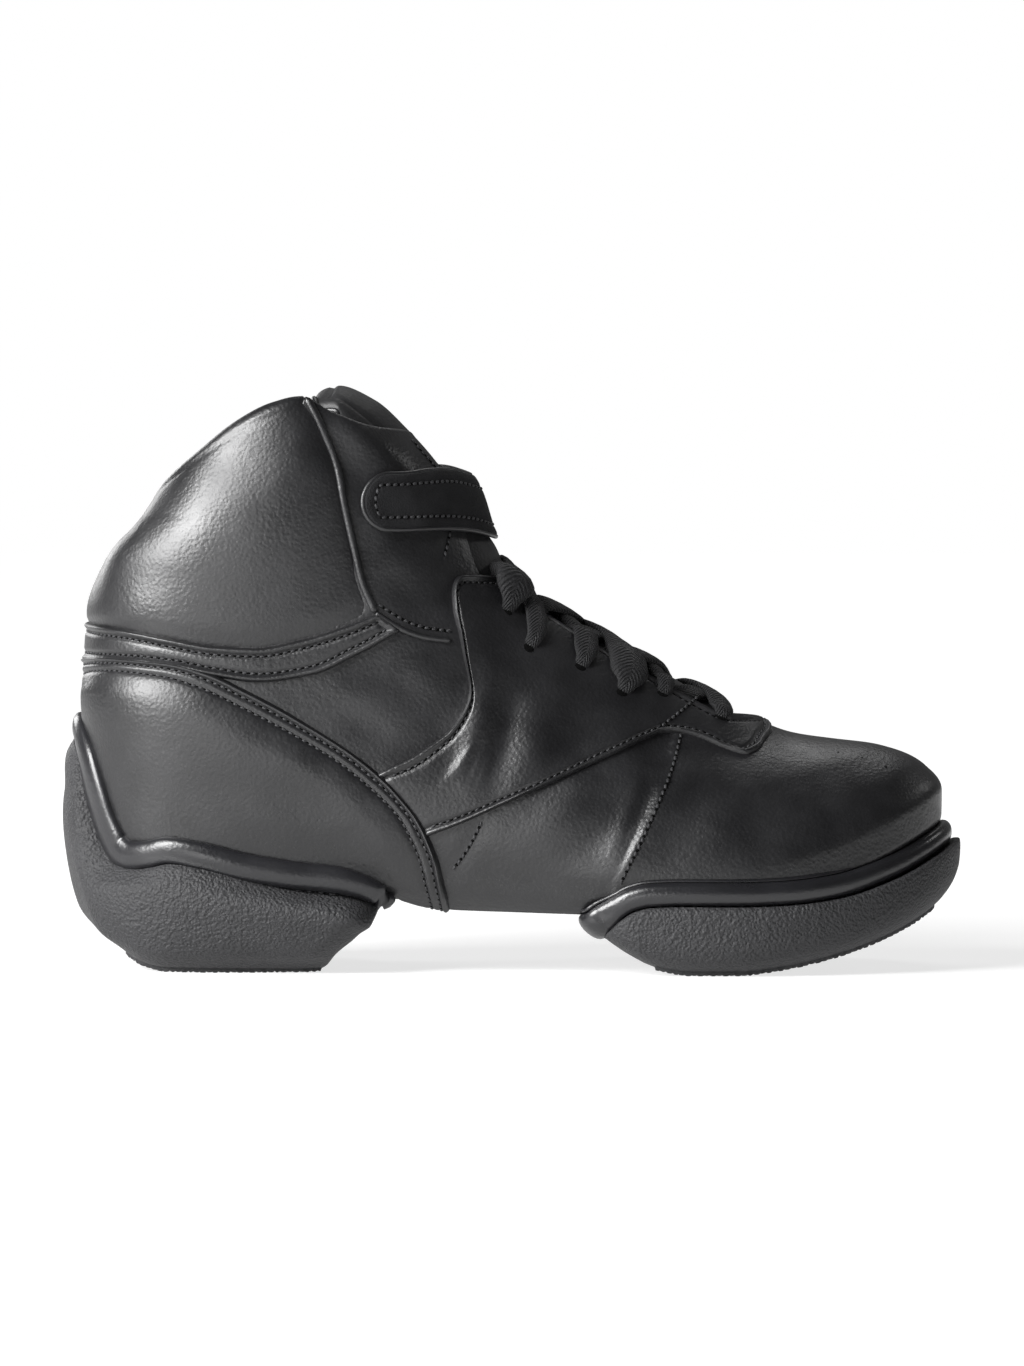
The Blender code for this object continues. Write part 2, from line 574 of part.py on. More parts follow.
def overlay(name, turn, rise, material, collection, lift=OVERLAY_GAP, thickness=OVERLAY):
    """Leather laid on the upper: the last's own surface, moved out, with a thickness."""
    points = on_last(turn, rise, np.broadcast_to(lift, np.shape(turn)))
    faces = [face[::-1] for face in grid_faces(*np.shape(turn))]
    made = new_object(name, points, faces, material, collection)
    solidify(made, thickness, 1)
    return made


def make_counter(material, collection):
    """Heel counter, from above the welt's bead to its curved top edge, both ends under the arch."""
    end = turn_at(COUNTER_TOP[-1, 0], COUNTER_TOP[-1, 1] - foot_line(COUNTER_TOP[-1, 0]))
    turn = mirrored(np.concatenate([np.linspace(0, 0.28, 5), np.linspace(0.34, end, 14)]))
    nominal = np.where(turn > FREE_TURN, FREE_TURN + (turn - FREE_TURN) / INNER_SLIDE, np.abs(turn))
    step = 0.01
    slope = (smooth(HEEL_BEAD, nominal + step) - smooth(HEEL_BEAD, nominal - step))[:, 0]
    slope /= 2 * step * HEEL_SPAN
    bead_top = smooth(HEEL_BEAD, nominal)[:, 0] + (BEAD_UP + 3 * GAP) * np.sqrt(1 + slope ** 2)
    low = bead_top - foot_line(last_point(turn, 8.0)[:, 0])
    past = np.clip((nominal - HEEL_BEAD[-1, 0] - 0.03) / 0.04, 0, 1)
    low = low + (2.5 - low) * past
    high = np.maximum(edge_rise(COUNTER_TOP, 0, np.abs(turn)), low + 2)
    rise = low + (high - low) * np.linspace(0, 1, 6)[:, None]
    return overlay("counter", np.broadcast_to(turn, rise.shape), rise, material, collection)


def make_ankle_band(material, collection):
    """Band round the ankle between the counter and the collar pad."""
    end = turn_at(ANKLE_BAND[-1, 0], ANKLE_BAND[-1, 1] - foot_line(ANKLE_BAND[-1, 0]))
    turn = np.linspace(-end, end, 39)
    low, high = (edge_rise(ANKLE_BAND, column, np.abs(turn)) for column in (0, 1))
    rise = low + (high - low) * np.linspace(0, 1, 3)[:, None]
    return overlay("ankle_band", np.broadcast_to(turn, rise.shape), rise, material, collection)


def make_facing(material, collection):
    """Eyestay: one piece from its rear edge along the throat, round the front and back."""
    outer = np.vstack([FACING_REAR[:, :2], FACING_FRONT[:, :2]])
    outer_turn, outer_rise = side_curve(outer[:, 0], outer[:, 1])
    rear_turn, rear_rise = side_curve(FACING_REAR[:, 2], FACING_REAR[:, 3])
    front_rise = FACING_FRONT[:, 2]
    end = np.clip((front_rise - THROAT_FRONT) / (THROAT[0, 0] - THROAT_FRONT), 0, 1)
    gap = smooth(THROAT, front_rise)[:, 0] * np.sqrt(1 - (1 - end) ** 2) + 1.2
    stations = np.arange(len(outer) + 1)
    share = np.linspace(0, 1, 7)[:, None]
    turns, rises = [], []
    for side in (-1, 1):
        edges = np.column_stack([
            stations, np.append(outer_turn, math.pi), np.append(outer_rise, FACING_TIP),
            np.concatenate([rear_turn, throat_turn(front_rise, gap, side), [math.pi]]),
            np.concatenate([rear_rise, front_rise, [THROAT_FRONT - 0.8]])])
        low_turn, low_rise, high_turn, high_rise = smooth(edges, np.linspace(0, stations[-1], 26)).T
        turns.append(side * (low_turn + (high_turn - low_turn) * share))
        rises.append(low_rise + (high_rise - low_rise) * share)
    turn = np.hstack([turns[1], turns[0][:, -2::-1] + math.tau])
    rise = np.hstack([rises[1], rises[0][:, -2::-1]])
    return overlay("facing", turn, rise, material, collection)


def make_ankle_strap(material, collection):
    """Strap with a round end, standing off the tongue at the front."""
    level = np.linspace(-1, 1, 6)[:, None]
    share = np.linspace(0, 1, 21)
    high = STRAP_HIGH[0] + (STRAP_HIGH[1] - STRAP_HIGH[0]) * np.clip(share / 0.5, 0, 1)
    height = (STRAP_LOW + high) / 2 + level * (high - STRAP_LOW) / 2
    half = (STRAP_HIGH[0] - STRAP_LOW) / 2
    bow = half * (1 - np.sqrt(1 - (STRAP_BLUNT * level) ** 2))
    start = turn_at(STRAP_END + bow, height[:, :1] - foot_line(STRAP_END))
    stop = math.tau - turn_at(STRAP_ROOT, height[:, -1:] - foot_line(STRAP_ROOT))
    turn = -(start + (stop - start) * share)[:, ::-1]
    height = height[:, ::-1]
    front = np.exp(-((np.abs(turn) - math.pi) / STRAP_BELLY) ** 2)
    height = height - STRAP_DROP * front
    rise = height - foot_line(last_point(turn, height - 20)[..., 0])
    lift = 2 * GAP + STRAP_SLACK * front
    return overlay("ankle_strap", turn, rise, material, collection, lift, STRAP_THICK)


def lace_path():
    """One strand that zigzags down over the throat, and back up across itself."""
    rises = np.array(LACE_RISES)
    gap = smooth(THROAT, rises)[:, 0] + LACE_REACH
    resting = OVERLAY_GAP + 3 * GAP + OVERLAY + LACE_RADIUS

    def at_hole(row, side, step):
        rise = rises[row] + step
        return on_last(side * throat_turn(rise, gap[row] - LACE_DRAW * (step != 0), side), rise, resting)

    def in_middle(rise, lift):
        return on_last(math.pi, np.array(rise), np.array(lift))

    path = []
    over = resting + 2 * LACE_RADIUS + 2 * GAP
    count = len(rises)
    for down in (True, False):
        rows = range(count) if down else range(count - 1, -1, -1)
        for row in rows:
            side = -1 if (row % 2 == 0) == down else 1
            step = LACE_TURN if down else -LACE_TURN
            for move in (step, 0.0, -step):
                ends = (row == 0 and move == LACE_TURN) or (row == count - 1 and move == -LACE_TURN)
                if not ends:
                    path.append(at_hole(row, np.array(side), np.array(move)))
            following = row + 1 if down else row - 1
            if 0 <= following < count:
                path.append(in_middle((rises[row] + rises[following]) / 2, over if down else resting))
        if down:
            path.append(in_middle(rises[-1] - LACE_DIP, resting))
    return np.array(path)


def make_lace(material, collection):
    """Lace over the throat: a round cord on a smooth curve through its turns and crossings."""
    route = lace_path()
    knots = np.arange(len(route))
    fine = smooth(np.column_stack([knots, route]), np.linspace(0, knots[-1], 3 * len(route) // 2))
    curve = bpy.data.curves.new("lace", "CURVE")
    curve.dimensions = "3D"
    curve.bevel_depth = LACE_RADIUS * MM
    curve.bevel_resolution = 1
    curve.use_fill_caps = True
    curve.materials.append(material)
    spline = curve.splines.new("POLY")
    spline.points.add(len(fine) - 1)
    for point, place in zip(spline.points, (fine - ORIGIN) * MM):
        point.co = (*place, 1)
    made = bpy.data.objects.new("lace", curve)
    collection.objects.link(made)
    return made


def make_material(name, colour, roughness):
    """Plain Principled surface."""
    material = bpy.data.materials.new(name)
    material.use_nodes = True
    shader = material.node_tree.nodes["Principled BSDF"]
    shader.inputs["Base Color"].default_value = (*colour, 1)
    shader.inputs["Roughness"].default_value = roughness
    shader.inputs["Metallic"].default_value = 0
    return material


def main():
    for old in list(bpy.data.objects):
        bpy.data.objects.remove(old)
    shoe = bpy.data.collections.new("dance_shoe")
    bpy.context.scene.collection.children.link(shoe)
    leather = make_material("black_leather", (0.018, 0.018, 0.020), 0.42)
    lining = make_material("black_lining", (0.014, 0.014, 0.015), 0.85)
    rubber = make_material("grained_rubber", (0.045, 0.045, 0.047), 0.62)
    bead = make_material("glossy_rubber", (0.020, 0.020, 0.022), 0.30)
    suede = make_material("strap_suede", (0.010, 0.010, 0.011), 0.90)
    braid = make_material("lace_braid", (0.012, 0.012, 0.013), 0.80)
    make_upper(leather, shoe)
    make_insole(lining, shoe)
    make_tongue(leather, shoe)
    make_outsole_forefoot(rubber, shoe)
    make_outsole_heel(rubber, shoe)
    make_welt_forefoot(bead, shoe)
    make_welt_heel(bead, shoe)
    make_counter(leather, shoe)
    make_ankle_band(leather, shoe)
    make_facing(leather, shoe)
    make_ankle_strap(suede, shoe)
    make_lace(braid, shoe)
    for piece in shoe.objects:
        if piece.type == "MESH":
            facets = piece.modifiers.new("facets", "TRIANGULATE")
            facets.quad_method = "SHORTEST_DIAGONAL"


main()
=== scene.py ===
"""Right shoe of a leather split-sole high-top dance sneaker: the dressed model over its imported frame.

Tables and sizes are in millimetres in the shoe's own frame, with the toe towards +X, the outer side
at -Y and the floor at z = 0. Meshes are in metres.

The last is a stack of level outlines. "turn" runs round an outline: 0 at the back of the heel, -pi or
+pi at the front, negative on the outer side. "rise" is the height above the foot line, and below zero
it runs inwards along the flat bottom. "lift" is a distance outwards from the last.
"""
import math

import bpy
import numpy as np
from bpy.props import FloatProperty, FloatVectorProperty, PointerProperty
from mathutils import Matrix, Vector


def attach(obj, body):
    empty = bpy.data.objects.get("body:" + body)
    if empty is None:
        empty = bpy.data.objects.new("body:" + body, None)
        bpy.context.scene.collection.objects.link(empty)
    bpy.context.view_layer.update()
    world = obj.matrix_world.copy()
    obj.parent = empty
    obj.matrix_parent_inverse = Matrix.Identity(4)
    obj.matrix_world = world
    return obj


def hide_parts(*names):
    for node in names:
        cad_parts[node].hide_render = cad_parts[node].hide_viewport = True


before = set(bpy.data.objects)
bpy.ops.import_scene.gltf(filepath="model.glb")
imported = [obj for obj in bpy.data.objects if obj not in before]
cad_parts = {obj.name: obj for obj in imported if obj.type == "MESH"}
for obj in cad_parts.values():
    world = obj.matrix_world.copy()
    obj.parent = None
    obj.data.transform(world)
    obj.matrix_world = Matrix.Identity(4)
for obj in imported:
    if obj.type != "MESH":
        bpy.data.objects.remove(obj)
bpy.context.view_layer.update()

bl_info = {
    "name": "Dance Shoe",
    "version": (1, 0, 0),
    "blender": (4, 5, 0),
    "location": "View3D > Sidebar > Dance Shoe",
    "description": "Builds a split-sole high-top dance sneaker piece by piece",
    "category": "Add Mesh",
}

MM = 0.001
SOFT = 80             # on smooth pieces, edges that bend by more degrees than this show as creases
ORIGIN = np.array([-0.3, -3.15, 0.0])  # the tables' point below the middle of the whole shoe

# The last and the edges of its opening. Columns: x, height of the foot line
FOOT_LINE = np.array([
    (-136, 26.0), (-110, 25.0), (-80, 24.5), (-52, 24.2), (-38, 23.2), (-27, 20.4), (-17, 18.6),
    (0, 18.2), (22, 17.8), (45, 17.6), (62, 18.2), (79, 20.5), (95, 25.0), (107, 29.5),
    (120, 36.0), (129, 41.0), (136, 44.5)])

# Columns: rise, back x, front x, outer half widths at heel, waist, ball and toe, inner ones
LAYERS = np.array([
    (0, -116.0, 125.5, 32.0, 31.0, 46.5, 34.0, 31.0, 25.0, 40.0, 32.0),
    (5, -119.5, 128.3, 34.5, 36.5, 48.5, 36.5, 33.5, 31.0, 41.0, 34.5),
    (12, -122.0, 128.4, 35.5, 39.5, 49.5, 36.5, 35.0, 34.5, 43.0, 35.0),
    (22, -124.5, 123.5, 36.0, 41.5, 48.0, 35.0, 35.5, 36.5, 43.0, 34.0),
    (35, -126.3, 110.0, 36.0, 42.0, 43.5, 29.0, 35.5, 37.5, 41.0, 29.0),
    (50, -127.2, 80.0, 35.0, 41.0, 37.5, 23.0, 34.5, 38.0, 36.5, 23.0),
    (65, -127.6, 55.5, 33.0, 40.5, 35.5, 21.0, 32.5, 38.5, 35.0, 21.0),
    (80, -126.5, 29.0, 31.0, 40.0, 36.0, 20.0, 31.0, 39.0, 36.0, 20.0),
    (95, -121.0, 4.0, 28.0, 38.5, 36.5, 20.5, 28.0, 38.0, 36.5, 20.5),
    (110, -111.5, -8.0, 25.5, 36.5, 36.0, 21.0, 25.5, 36.5, 36.0, 21.0),
    (125, -108.5, -13.5, 24.5, 35.5, 35.0, 20.0, 24.5, 35.5, 35.0, 20.0),
    (138, -106.5, -27.0, 23.5, 34.5, 34.0, 19.5, 23.5, 34.5, 34.0, 19.5),
    (152, -104.5, -40.0, 22.5, 33.5, 32.0, 18.5, 22.5, 33.5, 32.0, 18.5)])

# Columns: x, height of the collar rim from the back to the front corner
RIM = np.array([
    (-112, 134.0), (-104, 146.5), (-93, 156.0), (-82, 164.0), (-71, 169.3), (-62.5, 171.3),
    (-54, 166.5), (-43, 162.5), (-32, 161.5)])

# Columns: rise, half width of the throat opening
THROAT = np.array([
    (58, 12.5), (66, 13.0), (80, 13.5), (95, 13.0), (98.5, 13.4), (101, 21.5), (104, 22.0), (108, 20.0),
    (113, 17.0), (118, 13.0), (140, 11.0)])
THROAT_FRONT = 54.8   # rise of the closed front end of the throat
ARCH = (-52.0, 42.0)  # x of the closed leather arch, whose ends lie on the soles
WALL = 2.0            # leather and lining of the upper
RIM_EXTRA = 0.5       # how much thicker the rim is where no pad covers it
TURNED_IN = 8.0       # how far the upper turns in over the soles

# Soft folds in the leather. Columns: side (-1 outer, 1 inner, 0 both), x and height of both ends, half
# width, how far it stands out
FOLDS = np.array([
    (0, -7.0, 87.0, -13.6, 58.0, 5.2, 1.7), (0, 0.5, 92.0, -5.6, 57.0, 4.8, -0.85),
    (0, 12.0, 85.0, 2.2, 56.5, 6.2, 0.9), (0, 24.0, 78.0, 14.0, 62.0, 6.0, -0.5),
    (-1, -12.4, 67.0, -17.2, 57.5, 1.3, 0.35), (-1, -9.2, 68.5, -13.4, 58.0, 1.1, -0.3),
    (-1, -15.4, 63.0, -20.6, 55.5, 1.2, 0.3), (-1, -6.2, 66.0, -9.8, 55.5, 1.2, 0.25),
    (0, 27.0, 58.0, 3.0, 41.0, 6.5, 0.8), (0, 33.0, 49.0, 12.0, 31.0, 6.0, -0.7),
    (0, 38.0, 40.0, 26.0, 26.0, 5.0, 0.6), (-1, -9.0, 45.0, -18.0, 30.0, 2.0, -0.6),
    (-1, 43.5, 66.0, 33.0, 40.0, 3.4, -0.7), (-1, 40.0, 62.0, 29.0, 36.0, 2.6, 0.45),
    (0, 58.0, 60.0, 46.0, 36.0, 6.0, -0.5), (0, 70.0, 56.0, 62.0, 36.0, 7.0, 0.4),
    (0, -56.0, 88.0, -36.0, 76.0, 6.0, 0.6), (0, -50.0, 78.0, -34.0, 68.0, 5.0, -0.5),
    (0, -30.0, 92.0, -20.0, 82.0, 5.0, 0.5), (0, -116.0, 131.0, -108.0, 128.0, 4.0, -0.4),
    (0, -55.0, 165.6, -35.0, 152.4, 3.8, 1.7), (0, -54.0, 156.0, -43.0, 144.0, 4.6, -1.1),
    (0, -40.0, 128.0, -20.0, 112.0, 6.0, 0.6), (0, -36.0, 116.0, -24.0, 104.0, 4.5, -0.5),
    (0, -72.0, 58.0, -48.0, 46.0, 8.0, -0.6), (0, -84.0, 50.0, -60.0, 41.0, 5.0, 0.4),
    (1, -12.0, 66.0, -17.0, 57.0, 1.6, 0.35), (1, -8.0, 64.0, -13.0, 54.0, 1.6, -0.3)])


def smooth(table, at):
    """Monotone cubic through a table's rows: its first column in, the others out."""
    knots, values = table[:, 0], table[:, 1:]
    step = np.diff(knots)
    slope = np.diff(values, axis=0) / step[:, None]
    before, after = slope[:-1], slope[1:]
    rising = before * after > 0
    total = np.where(rising, before + after, 1.0)
    tangent = np.vstack([slope[:1], np.where(rising, 2 * before * after / total, 0.0), slope[-1:]])
    at = np.clip(np.asarray(at, float), knots[0], knots[-1])
    i = np.clip(np.searchsorted(knots, at, side="right") - 1, 0, len(step) - 1)
    t = ((at - knots[i]) / step[i])[..., None]
    span = step[i][..., None]
    ends = values[i] * (1 + 2 * t) * (1 - t) ** 2 + values[i + 1] * t ** 2 * (3 - 2 * t)
    return ends + span * (tangent[i] * t * (1 - t) ** 2 + tangent[i + 1] * t ** 2 * (t - 1))


def along_rows(table, count):
    """A table's rows turned into a smooth run of count rows, by their number."""
    knots = np.arange(len(table))
    return smooth(np.column_stack([knots, table]), np.linspace(0, knots[-1], count))


def blend(low, high, value):
    """Smooth step from 0 at low to 1 at high."""
    t = np.clip((np.asarray(value, float) - low) / (high - low), 0, 1)
    return t * t * (3 - 2 * t)


def bell(value, middle, width):
    """Bell curve of height 1."""
    return np.exp(-((np.asarray(value, float) - middle) / width) ** 2)


def unit(vectors):
    """Vectors at length 1."""
    return vectors / np.maximum(np.linalg.norm(vectors, axis=-1, keepdims=True), 1e-9)


def run_along(path):
    """Distance along a path from its first point to each of its points."""
    return np.concatenate([[0], np.cumsum(np.linalg.norm(np.diff(path, axis=0), axis=1))])


def quarter_round(distance, radius):
    """Profile of a rounded edge: 0 at the edge, up a quarter circle to 1 at a radius from it."""
    return np.sqrt(1 - (1 - np.clip(distance / radius, 0, 1)) ** 2)


def foot_line(x):
    """Height of the last's bottom edge at x."""
    return smooth(FOOT_LINE, x)[..., 0]


STATIONS = np.arange(1, 5)
SINES = 0.4 * np.sin(np.outer(STATIONS, STATIONS) * math.pi / 5)


def last_point(turn, rise):
    """Point on the last: a sine series through four half widths a side, running inwards below rise 0."""
    turn, rise = np.broadcast_arrays(np.asarray(turn, float), np.asarray(rise, float))
    turn = (turn + math.pi) % (2 * math.pi) - math.pi
    up = np.maximum(rise, 0)
    row = smooth(LAYERS, up)
    x = row[..., 0] + (row[..., 1] - row[..., 0]) * (1 - np.cos(turn)) / 2
    half = np.where((turn < 0)[..., None], row[..., 2:6], row[..., 6:10])
    y = ((half @ SINES) * np.sin(turn[..., None] * STATIONS)).sum(axis=-1)
    inward = np.where(rise < 0, np.minimum(-rise, np.maximum(np.abs(y) - 0.1, 0)), 0)
    return np.stack([x, y - np.sign(y) * inward, up + foot_line(x)], axis=-1)


def last_normal(turn, rise):
    """Outward unit normal of the last, from small steps along and up."""
    along = last_point(turn + 0.003, rise) - last_point(turn - 0.003, rise)
    up = last_point(turn, rise + 0.4) - last_point(turn, rise - 0.4)
    return unit(np.cross(up, along))


def folds(points):
    """Sum of the soft folds at points: bell curves over the distance to each fold's line, side on."""
    height = np.zeros(points.shape[:-1])
    flat = points[..., [0, 2]]
    for side, x0, z0, x1, z1, width, lift in FOLDS:
        start, run = np.array([x0, z0]), np.array([x1 - x0, z1 - z0])
        share = np.clip(((flat - start) @ run) / (run @ run), 0, 1)
        away = np.linalg.norm(flat - start - share[..., None] * run, axis=-1)
        fade = np.sin(np.pi * np.clip(0.12 + 0.76 * share, 0, 1))
        height += np.where(points[..., 1] * side >= 0, lift * fade * bell(away, 0, width), 0)
    return height


def on_last(turn, rise, lift, folded=True):
    """Point at a lift outside the last, with the leather's folds."""
    here = last_point(turn, rise)
    lift = lift + folds(here) if folded else np.broadcast_to(lift, here.shape[:-1])
    return here + lift[..., None] * last_normal(turn, rise)


def turn_at(x, rise):
    """Unsigned turn of the point that the side view shows at x and rise."""
    row = smooth(LAYERS, rise)
    share = (x - row[..., 0]) / (row[..., 1] - row[..., 0])
    return np.arccos(np.clip(1 - 2 * share, -1, 1))


def side_curve(x, height):
    """Turn and rise of points given in the side view."""
    rise = height - foot_line(x)
    return turn_at(x, rise), rise


def throat_turn(rise, half_gap, side):
    """Turn at which the last is half_gap away from the middle, near its front, by bisection."""
    near, far = np.zeros_like(rise), np.full_like(rise, 1.3)
    for _ in range(40):
        middle = (near + far) / 2
        wide = np.abs(last_point(side * (math.pi - middle), rise)[..., 1]) > half_gap
        far = np.where(wide, middle, far)
        near = np.where(wide, near, middle)
    return math.pi - (near + far) / 2


def outline(turn, rise, margin):
    """Level outline round the last: points at a plan distance from it, outer and inner side."""
    sides = []
    for side in (-1, 1):
        here = last_point(side * turn, rise)
        step = last_point(side * (turn + 0.002), rise) - last_point(side * (turn - 0.002), rise)
        normal = unit(np.stack([step[..., 1], -step[..., 0]], axis=-1) * -side)
        sides.append(here[..., :2] + np.asarray(margin, float)[..., None] * normal)
    return sides


def rounded(distance, radius):
    """How far a plan corner of a radius draws in at a distance from its end."""
    return radius * (1 - quarter_round(distance, radius))


def grid_faces(rows, columns, cyclic_rows=False, cyclic_columns=False):
    """Quads of a grid whose points are numbered row by row."""
    r = np.arange(rows if cyclic_rows else rows - 1)[:, None]
    c = np.arange(columns if cyclic_columns else columns - 1)
    down, right = (r + 1) % rows, (c + 1) % columns
    corners = [r * columns + c, r * columns + right, down * columns + right, down * columns + c]
    return np.stack(np.broadcast_arrays(*corners), axis=-1).reshape(-1, 4)


def slab(top, bottom):
    """Points and quads of a closed slab: a top grid, a bottom grid after it, and the rim between them."""
    rows, columns = top.shape[:2]
    points = np.concatenate([top.reshape(-1, 3), bottom.reshape(-1, 3)])
    faces = grid_faces(rows, columns)
    size = rows * columns
    i = np.arange(size).reshape(rows, columns)
    rim = np.concatenate([i[0], i[1:, -1], i[-1, -2::-1], i[-2:0:-1, 0]])
    after = np.roll(rim, -1)
    side = np.stack([rim, rim + size, after + size, after], axis=-1)
    return points, np.concatenate([faces, faces[:, ::-1] + size, side])


def tube_faces(rings, around, closed):
    """Quads of a tube, and its two end faces if it is open."""
    faces = grid_faces(rings, around, closed, True).tolist()
    if not closed:
        last = (rings - 1) * around
        faces += [list(range(around))[::-1], list(range(last, last + around))]
    return faces


def outward(points, faces):
    """The faces of a closed mesh, turned over if their signed volume is negative."""
    volume = 0.0
    for size in (3, 4):
        group = np.array([face for face in faces if len(face) == size])
        for k in range(1, size - 1 if len(group) else 1):
            a, b, c = (points[group[:, i]] for i in (0, k, k + 1))
            volume += np.einsum("ij,ij->", a, np.cross(b, c))
    return faces if volume > 0 else [face[::-1] for face in faces]


def new_piece(name, points, faces, finishes, slot, replaces=(), uv=None, face_finish=None, crease=55):
    """Mesh object of one closed piece that rides on the shoe; uv holds one pair for each point."""
    points = (np.asarray(points, float).reshape(-1, 3) - ORIGIN) * MM
    faces = outward(points, faces.tolist() if isinstance(faces, np.ndarray) else faces)
    mesh = bpy.data.meshes.new(name)
    mesh.from_pydata(points.tolist(), [], faces)
    for finish in finishes:
        mesh.materials.append(finish)
    if face_finish is not None:
        mesh.polygons.foreach_set("material_index", np.asarray(face_finish, np.int32))
    if uv is not None:
        corner = np.zeros(len(mesh.loops), np.int32)
        mesh.loops.foreach_get("vertex_index", corner)
        layer = mesh.uv_layers.new(name="UVMap")
        layer.data.foreach_set("uv", np.asarray(uv, np.float32).reshape(-1, 2)[corner].ravel())
    mesh.shade_smooth()
    mesh.set_sharp_from_angle(angle=math.radians(crease))
    piece = bpy.data.objects.new(name, mesh)
    bpy.context.scene.collection.objects.link(piece)
    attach(piece, "root")
    if replaces:
        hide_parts(*replaces)
    return piece


def joined(parts):
    """Points and faces of several meshes as one; each part is a pair of points and faces."""
    points, faces, used = [], [], 0
    for part_points, part_faces in parts:
        part_points = np.asarray(part_points, float).reshape(-1, 3)
        points.append(part_points)
        faces += [[i + used for i in face] for face in part_faces]
        used += len(part_points)
    return np.concatenate(points), faces


def path_frames(path, normal, closed=False):
    """Unit tangent, sideways and outward vectors along a path."""
    around = np.roll(path, -1, axis=0) - np.roll(path, 1, axis=0)
    tangent = unit(around if closed else np.gradient(path, axis=0))
    normal = unit(normal - tangent * (normal * tangent).sum(axis=1, keepdims=True))
    return tangent, np.cross(normal, tangent), normal


def tube(path, normal, half_wide, half_high, around=10, closed=False, power=1.0, taper=0):
    """Bead along a path: a superellipse of two half sizes, drawn in over a few rings at open ends."""
    _, sideways, up = path_frames(path, normal, closed)
    angle = np.arange(around) * math.tau / around
    across = np.sign(np.cos(angle)) * np.abs(np.cos(angle)) ** power
    over = np.sign(np.sin(angle)) * np.abs(np.sin(angle)) ** power
    size = np.ones(len(path))
    if taper:
        ring = np.minimum(np.arange(len(path)), np.arange(len(path))[::-1])
        size = quarter_round(ring + 0.15, taper)
    wide = np.broadcast_to(half_wide, len(path)) * size
    high = np.broadcast_to(half_high, len(path)) * size
    rings = (path[:, None] + (wide[:, None] * across)[..., None] * sideways[:, None]
             + (high[:, None] * over)[..., None] * up[:, None])
    return rings.reshape(-1, 3), tube_faces(len(path), around, closed)


def resampled(path, spacing):
    """Fractional row numbers along a path for points a spacing apart."""
    run = run_along(path)
    count = max(int(round(run[-1] / spacing)), 2)
    places = (np.arange(count) + 0.5) / count * run[-1]
    return np.interp(places, run, np.arange(len(path)))


def pick(values, place):
    """Rows of an array at fractional row numbers."""
    low = np.clip(place.astype(int), 0, len(values) - 2)
    part = (place - low)[:, None]
    return values[low] * (1 - part) + values[low + 1] * part


THREAD_RINGS = (-0.72, -0.3, 0.3, 0.72)  # shares of a stitch's half length
# rings of the flat spindle that carries a needle hole's painted shade
HOLE_RINGS = (-0.5, 0.5)


def spindles(path, normal, place, size, ring, slant=0.0):
    """Small spindles along a path at fractional places, turned across it by a slant.

    A spindle of a length, width and height is an ellipsoid cut into six-sided rings at shares of its
    half length, with a point at each end.
    """
    tangent, sideways, up = (pick(v, place) for v in path_frames(path, normal))
    tangent, sideways = (tangent * math.cos(slant) + sideways * math.sin(slant),
                         sideways * math.cos(slant) - tangent * math.sin(slant))
    ring = np.array(ring)
    girth = np.sqrt(1 - ring ** 2)
    angle = np.arange(6) * math.tau / 6
    body = np.stack(np.broadcast_arrays(ring[:, None], girth[:, None] * np.cos(angle),
                                        girth[:, None] * np.sin(angle)), axis=-1).reshape(-1, 3)
    body = np.concatenate([body, [(-1, 0, 0), (1, 0, 0)]]) * np.array(size) / 2
    points = pick(path, place)[:, None] + body @ np.stack([tangent, sideways, up], axis=1)
    last = 6 * len(ring)
    faces = grid_faces(len(ring), 6, False, True).tolist()
    faces += [[last, (k + 1) % 6, k] for k in range(6)]
    faces += [[last + 1, last - 6 + k, last - 6 + (k + 1) % 6] for k in range(6)]
    starts = np.arange(len(place)) * len(body)
    return points.reshape(-1, 3), [[i + start for i in face] for start in starts.tolist() for face in faces]


def stitch_row(path, normal, pitch, length, width, slant=0.24):
    """Thread and needle holes along a seam: a slanting spindle for a stitch, a flat one for a hole, which
    carries the hole's painted shade.
    """
    place = resampled(path, pitch)
    thread = spindles(path, normal, place, (length, width, 0.9 * width), THREAD_RINGS, slant)
    holes = (place[1:] + place[:-1]) / 2
    return thread, spindles(path, normal, holes, (pitch * 0.46, width * 1.1, 0.4), HOLE_RINGS)


def on_seam(turn, rise, lift):
    """Points and outward normals of a seam line laid on the leather."""
    return on_last(turn, rise, lift), last_normal(turn, rise)


def drawn_seam(table, side, count=90):
    """Turn and rise of a line drawn in the side view through a table of x and z, on one side."""
    x, z = along_rows(np.asarray(table, float), count).T
    turn, rise = side_curve(x, z)
    return side * turn, rise


DRIFT = (0.3, 0.7)  # span of a noise in which colour and roughness change


def new_finish(name, colour, roughness, specular=0.4, coat=0.0, coat_roughness=0.3, sheen=0.0):
    """Principled material with its even values on the shader; returns it with its node tree and shader."""
    material = bpy.data.materials.new(name)
    material.use_nodes = True
    tree = material.node_tree
    shader = tree.nodes["Principled BSDF"]
    shader.inputs["Base Color"].default_value = (*colour, 1)
    shader.inputs["Roughness"].default_value = roughness
    shader.inputs["Specular IOR Level"].default_value = specular
    shader.inputs["Coat Weight"].default_value = coat
    shader.inputs["Coat Roughness"].default_value = coat_roughness
    shader.inputs["Sheen Weight"].default_value = sheen
    shader.inputs["Sheen Roughness"].default_value = 0.4
    return material, tree, shader


def node(tree, kind, links=(), **values):
    """New node with its settings and input values; links are (input, source socket) pairs."""
    made = tree.nodes.new(kind)
    for key, value in values.items():
        if hasattr(made, key):
            setattr(made, key, value)
        else:
            made.inputs[key.replace("_", " ")].default_value = value
    for key, source in links:
        tree.links.new(source, made.inputs[key])
    return made


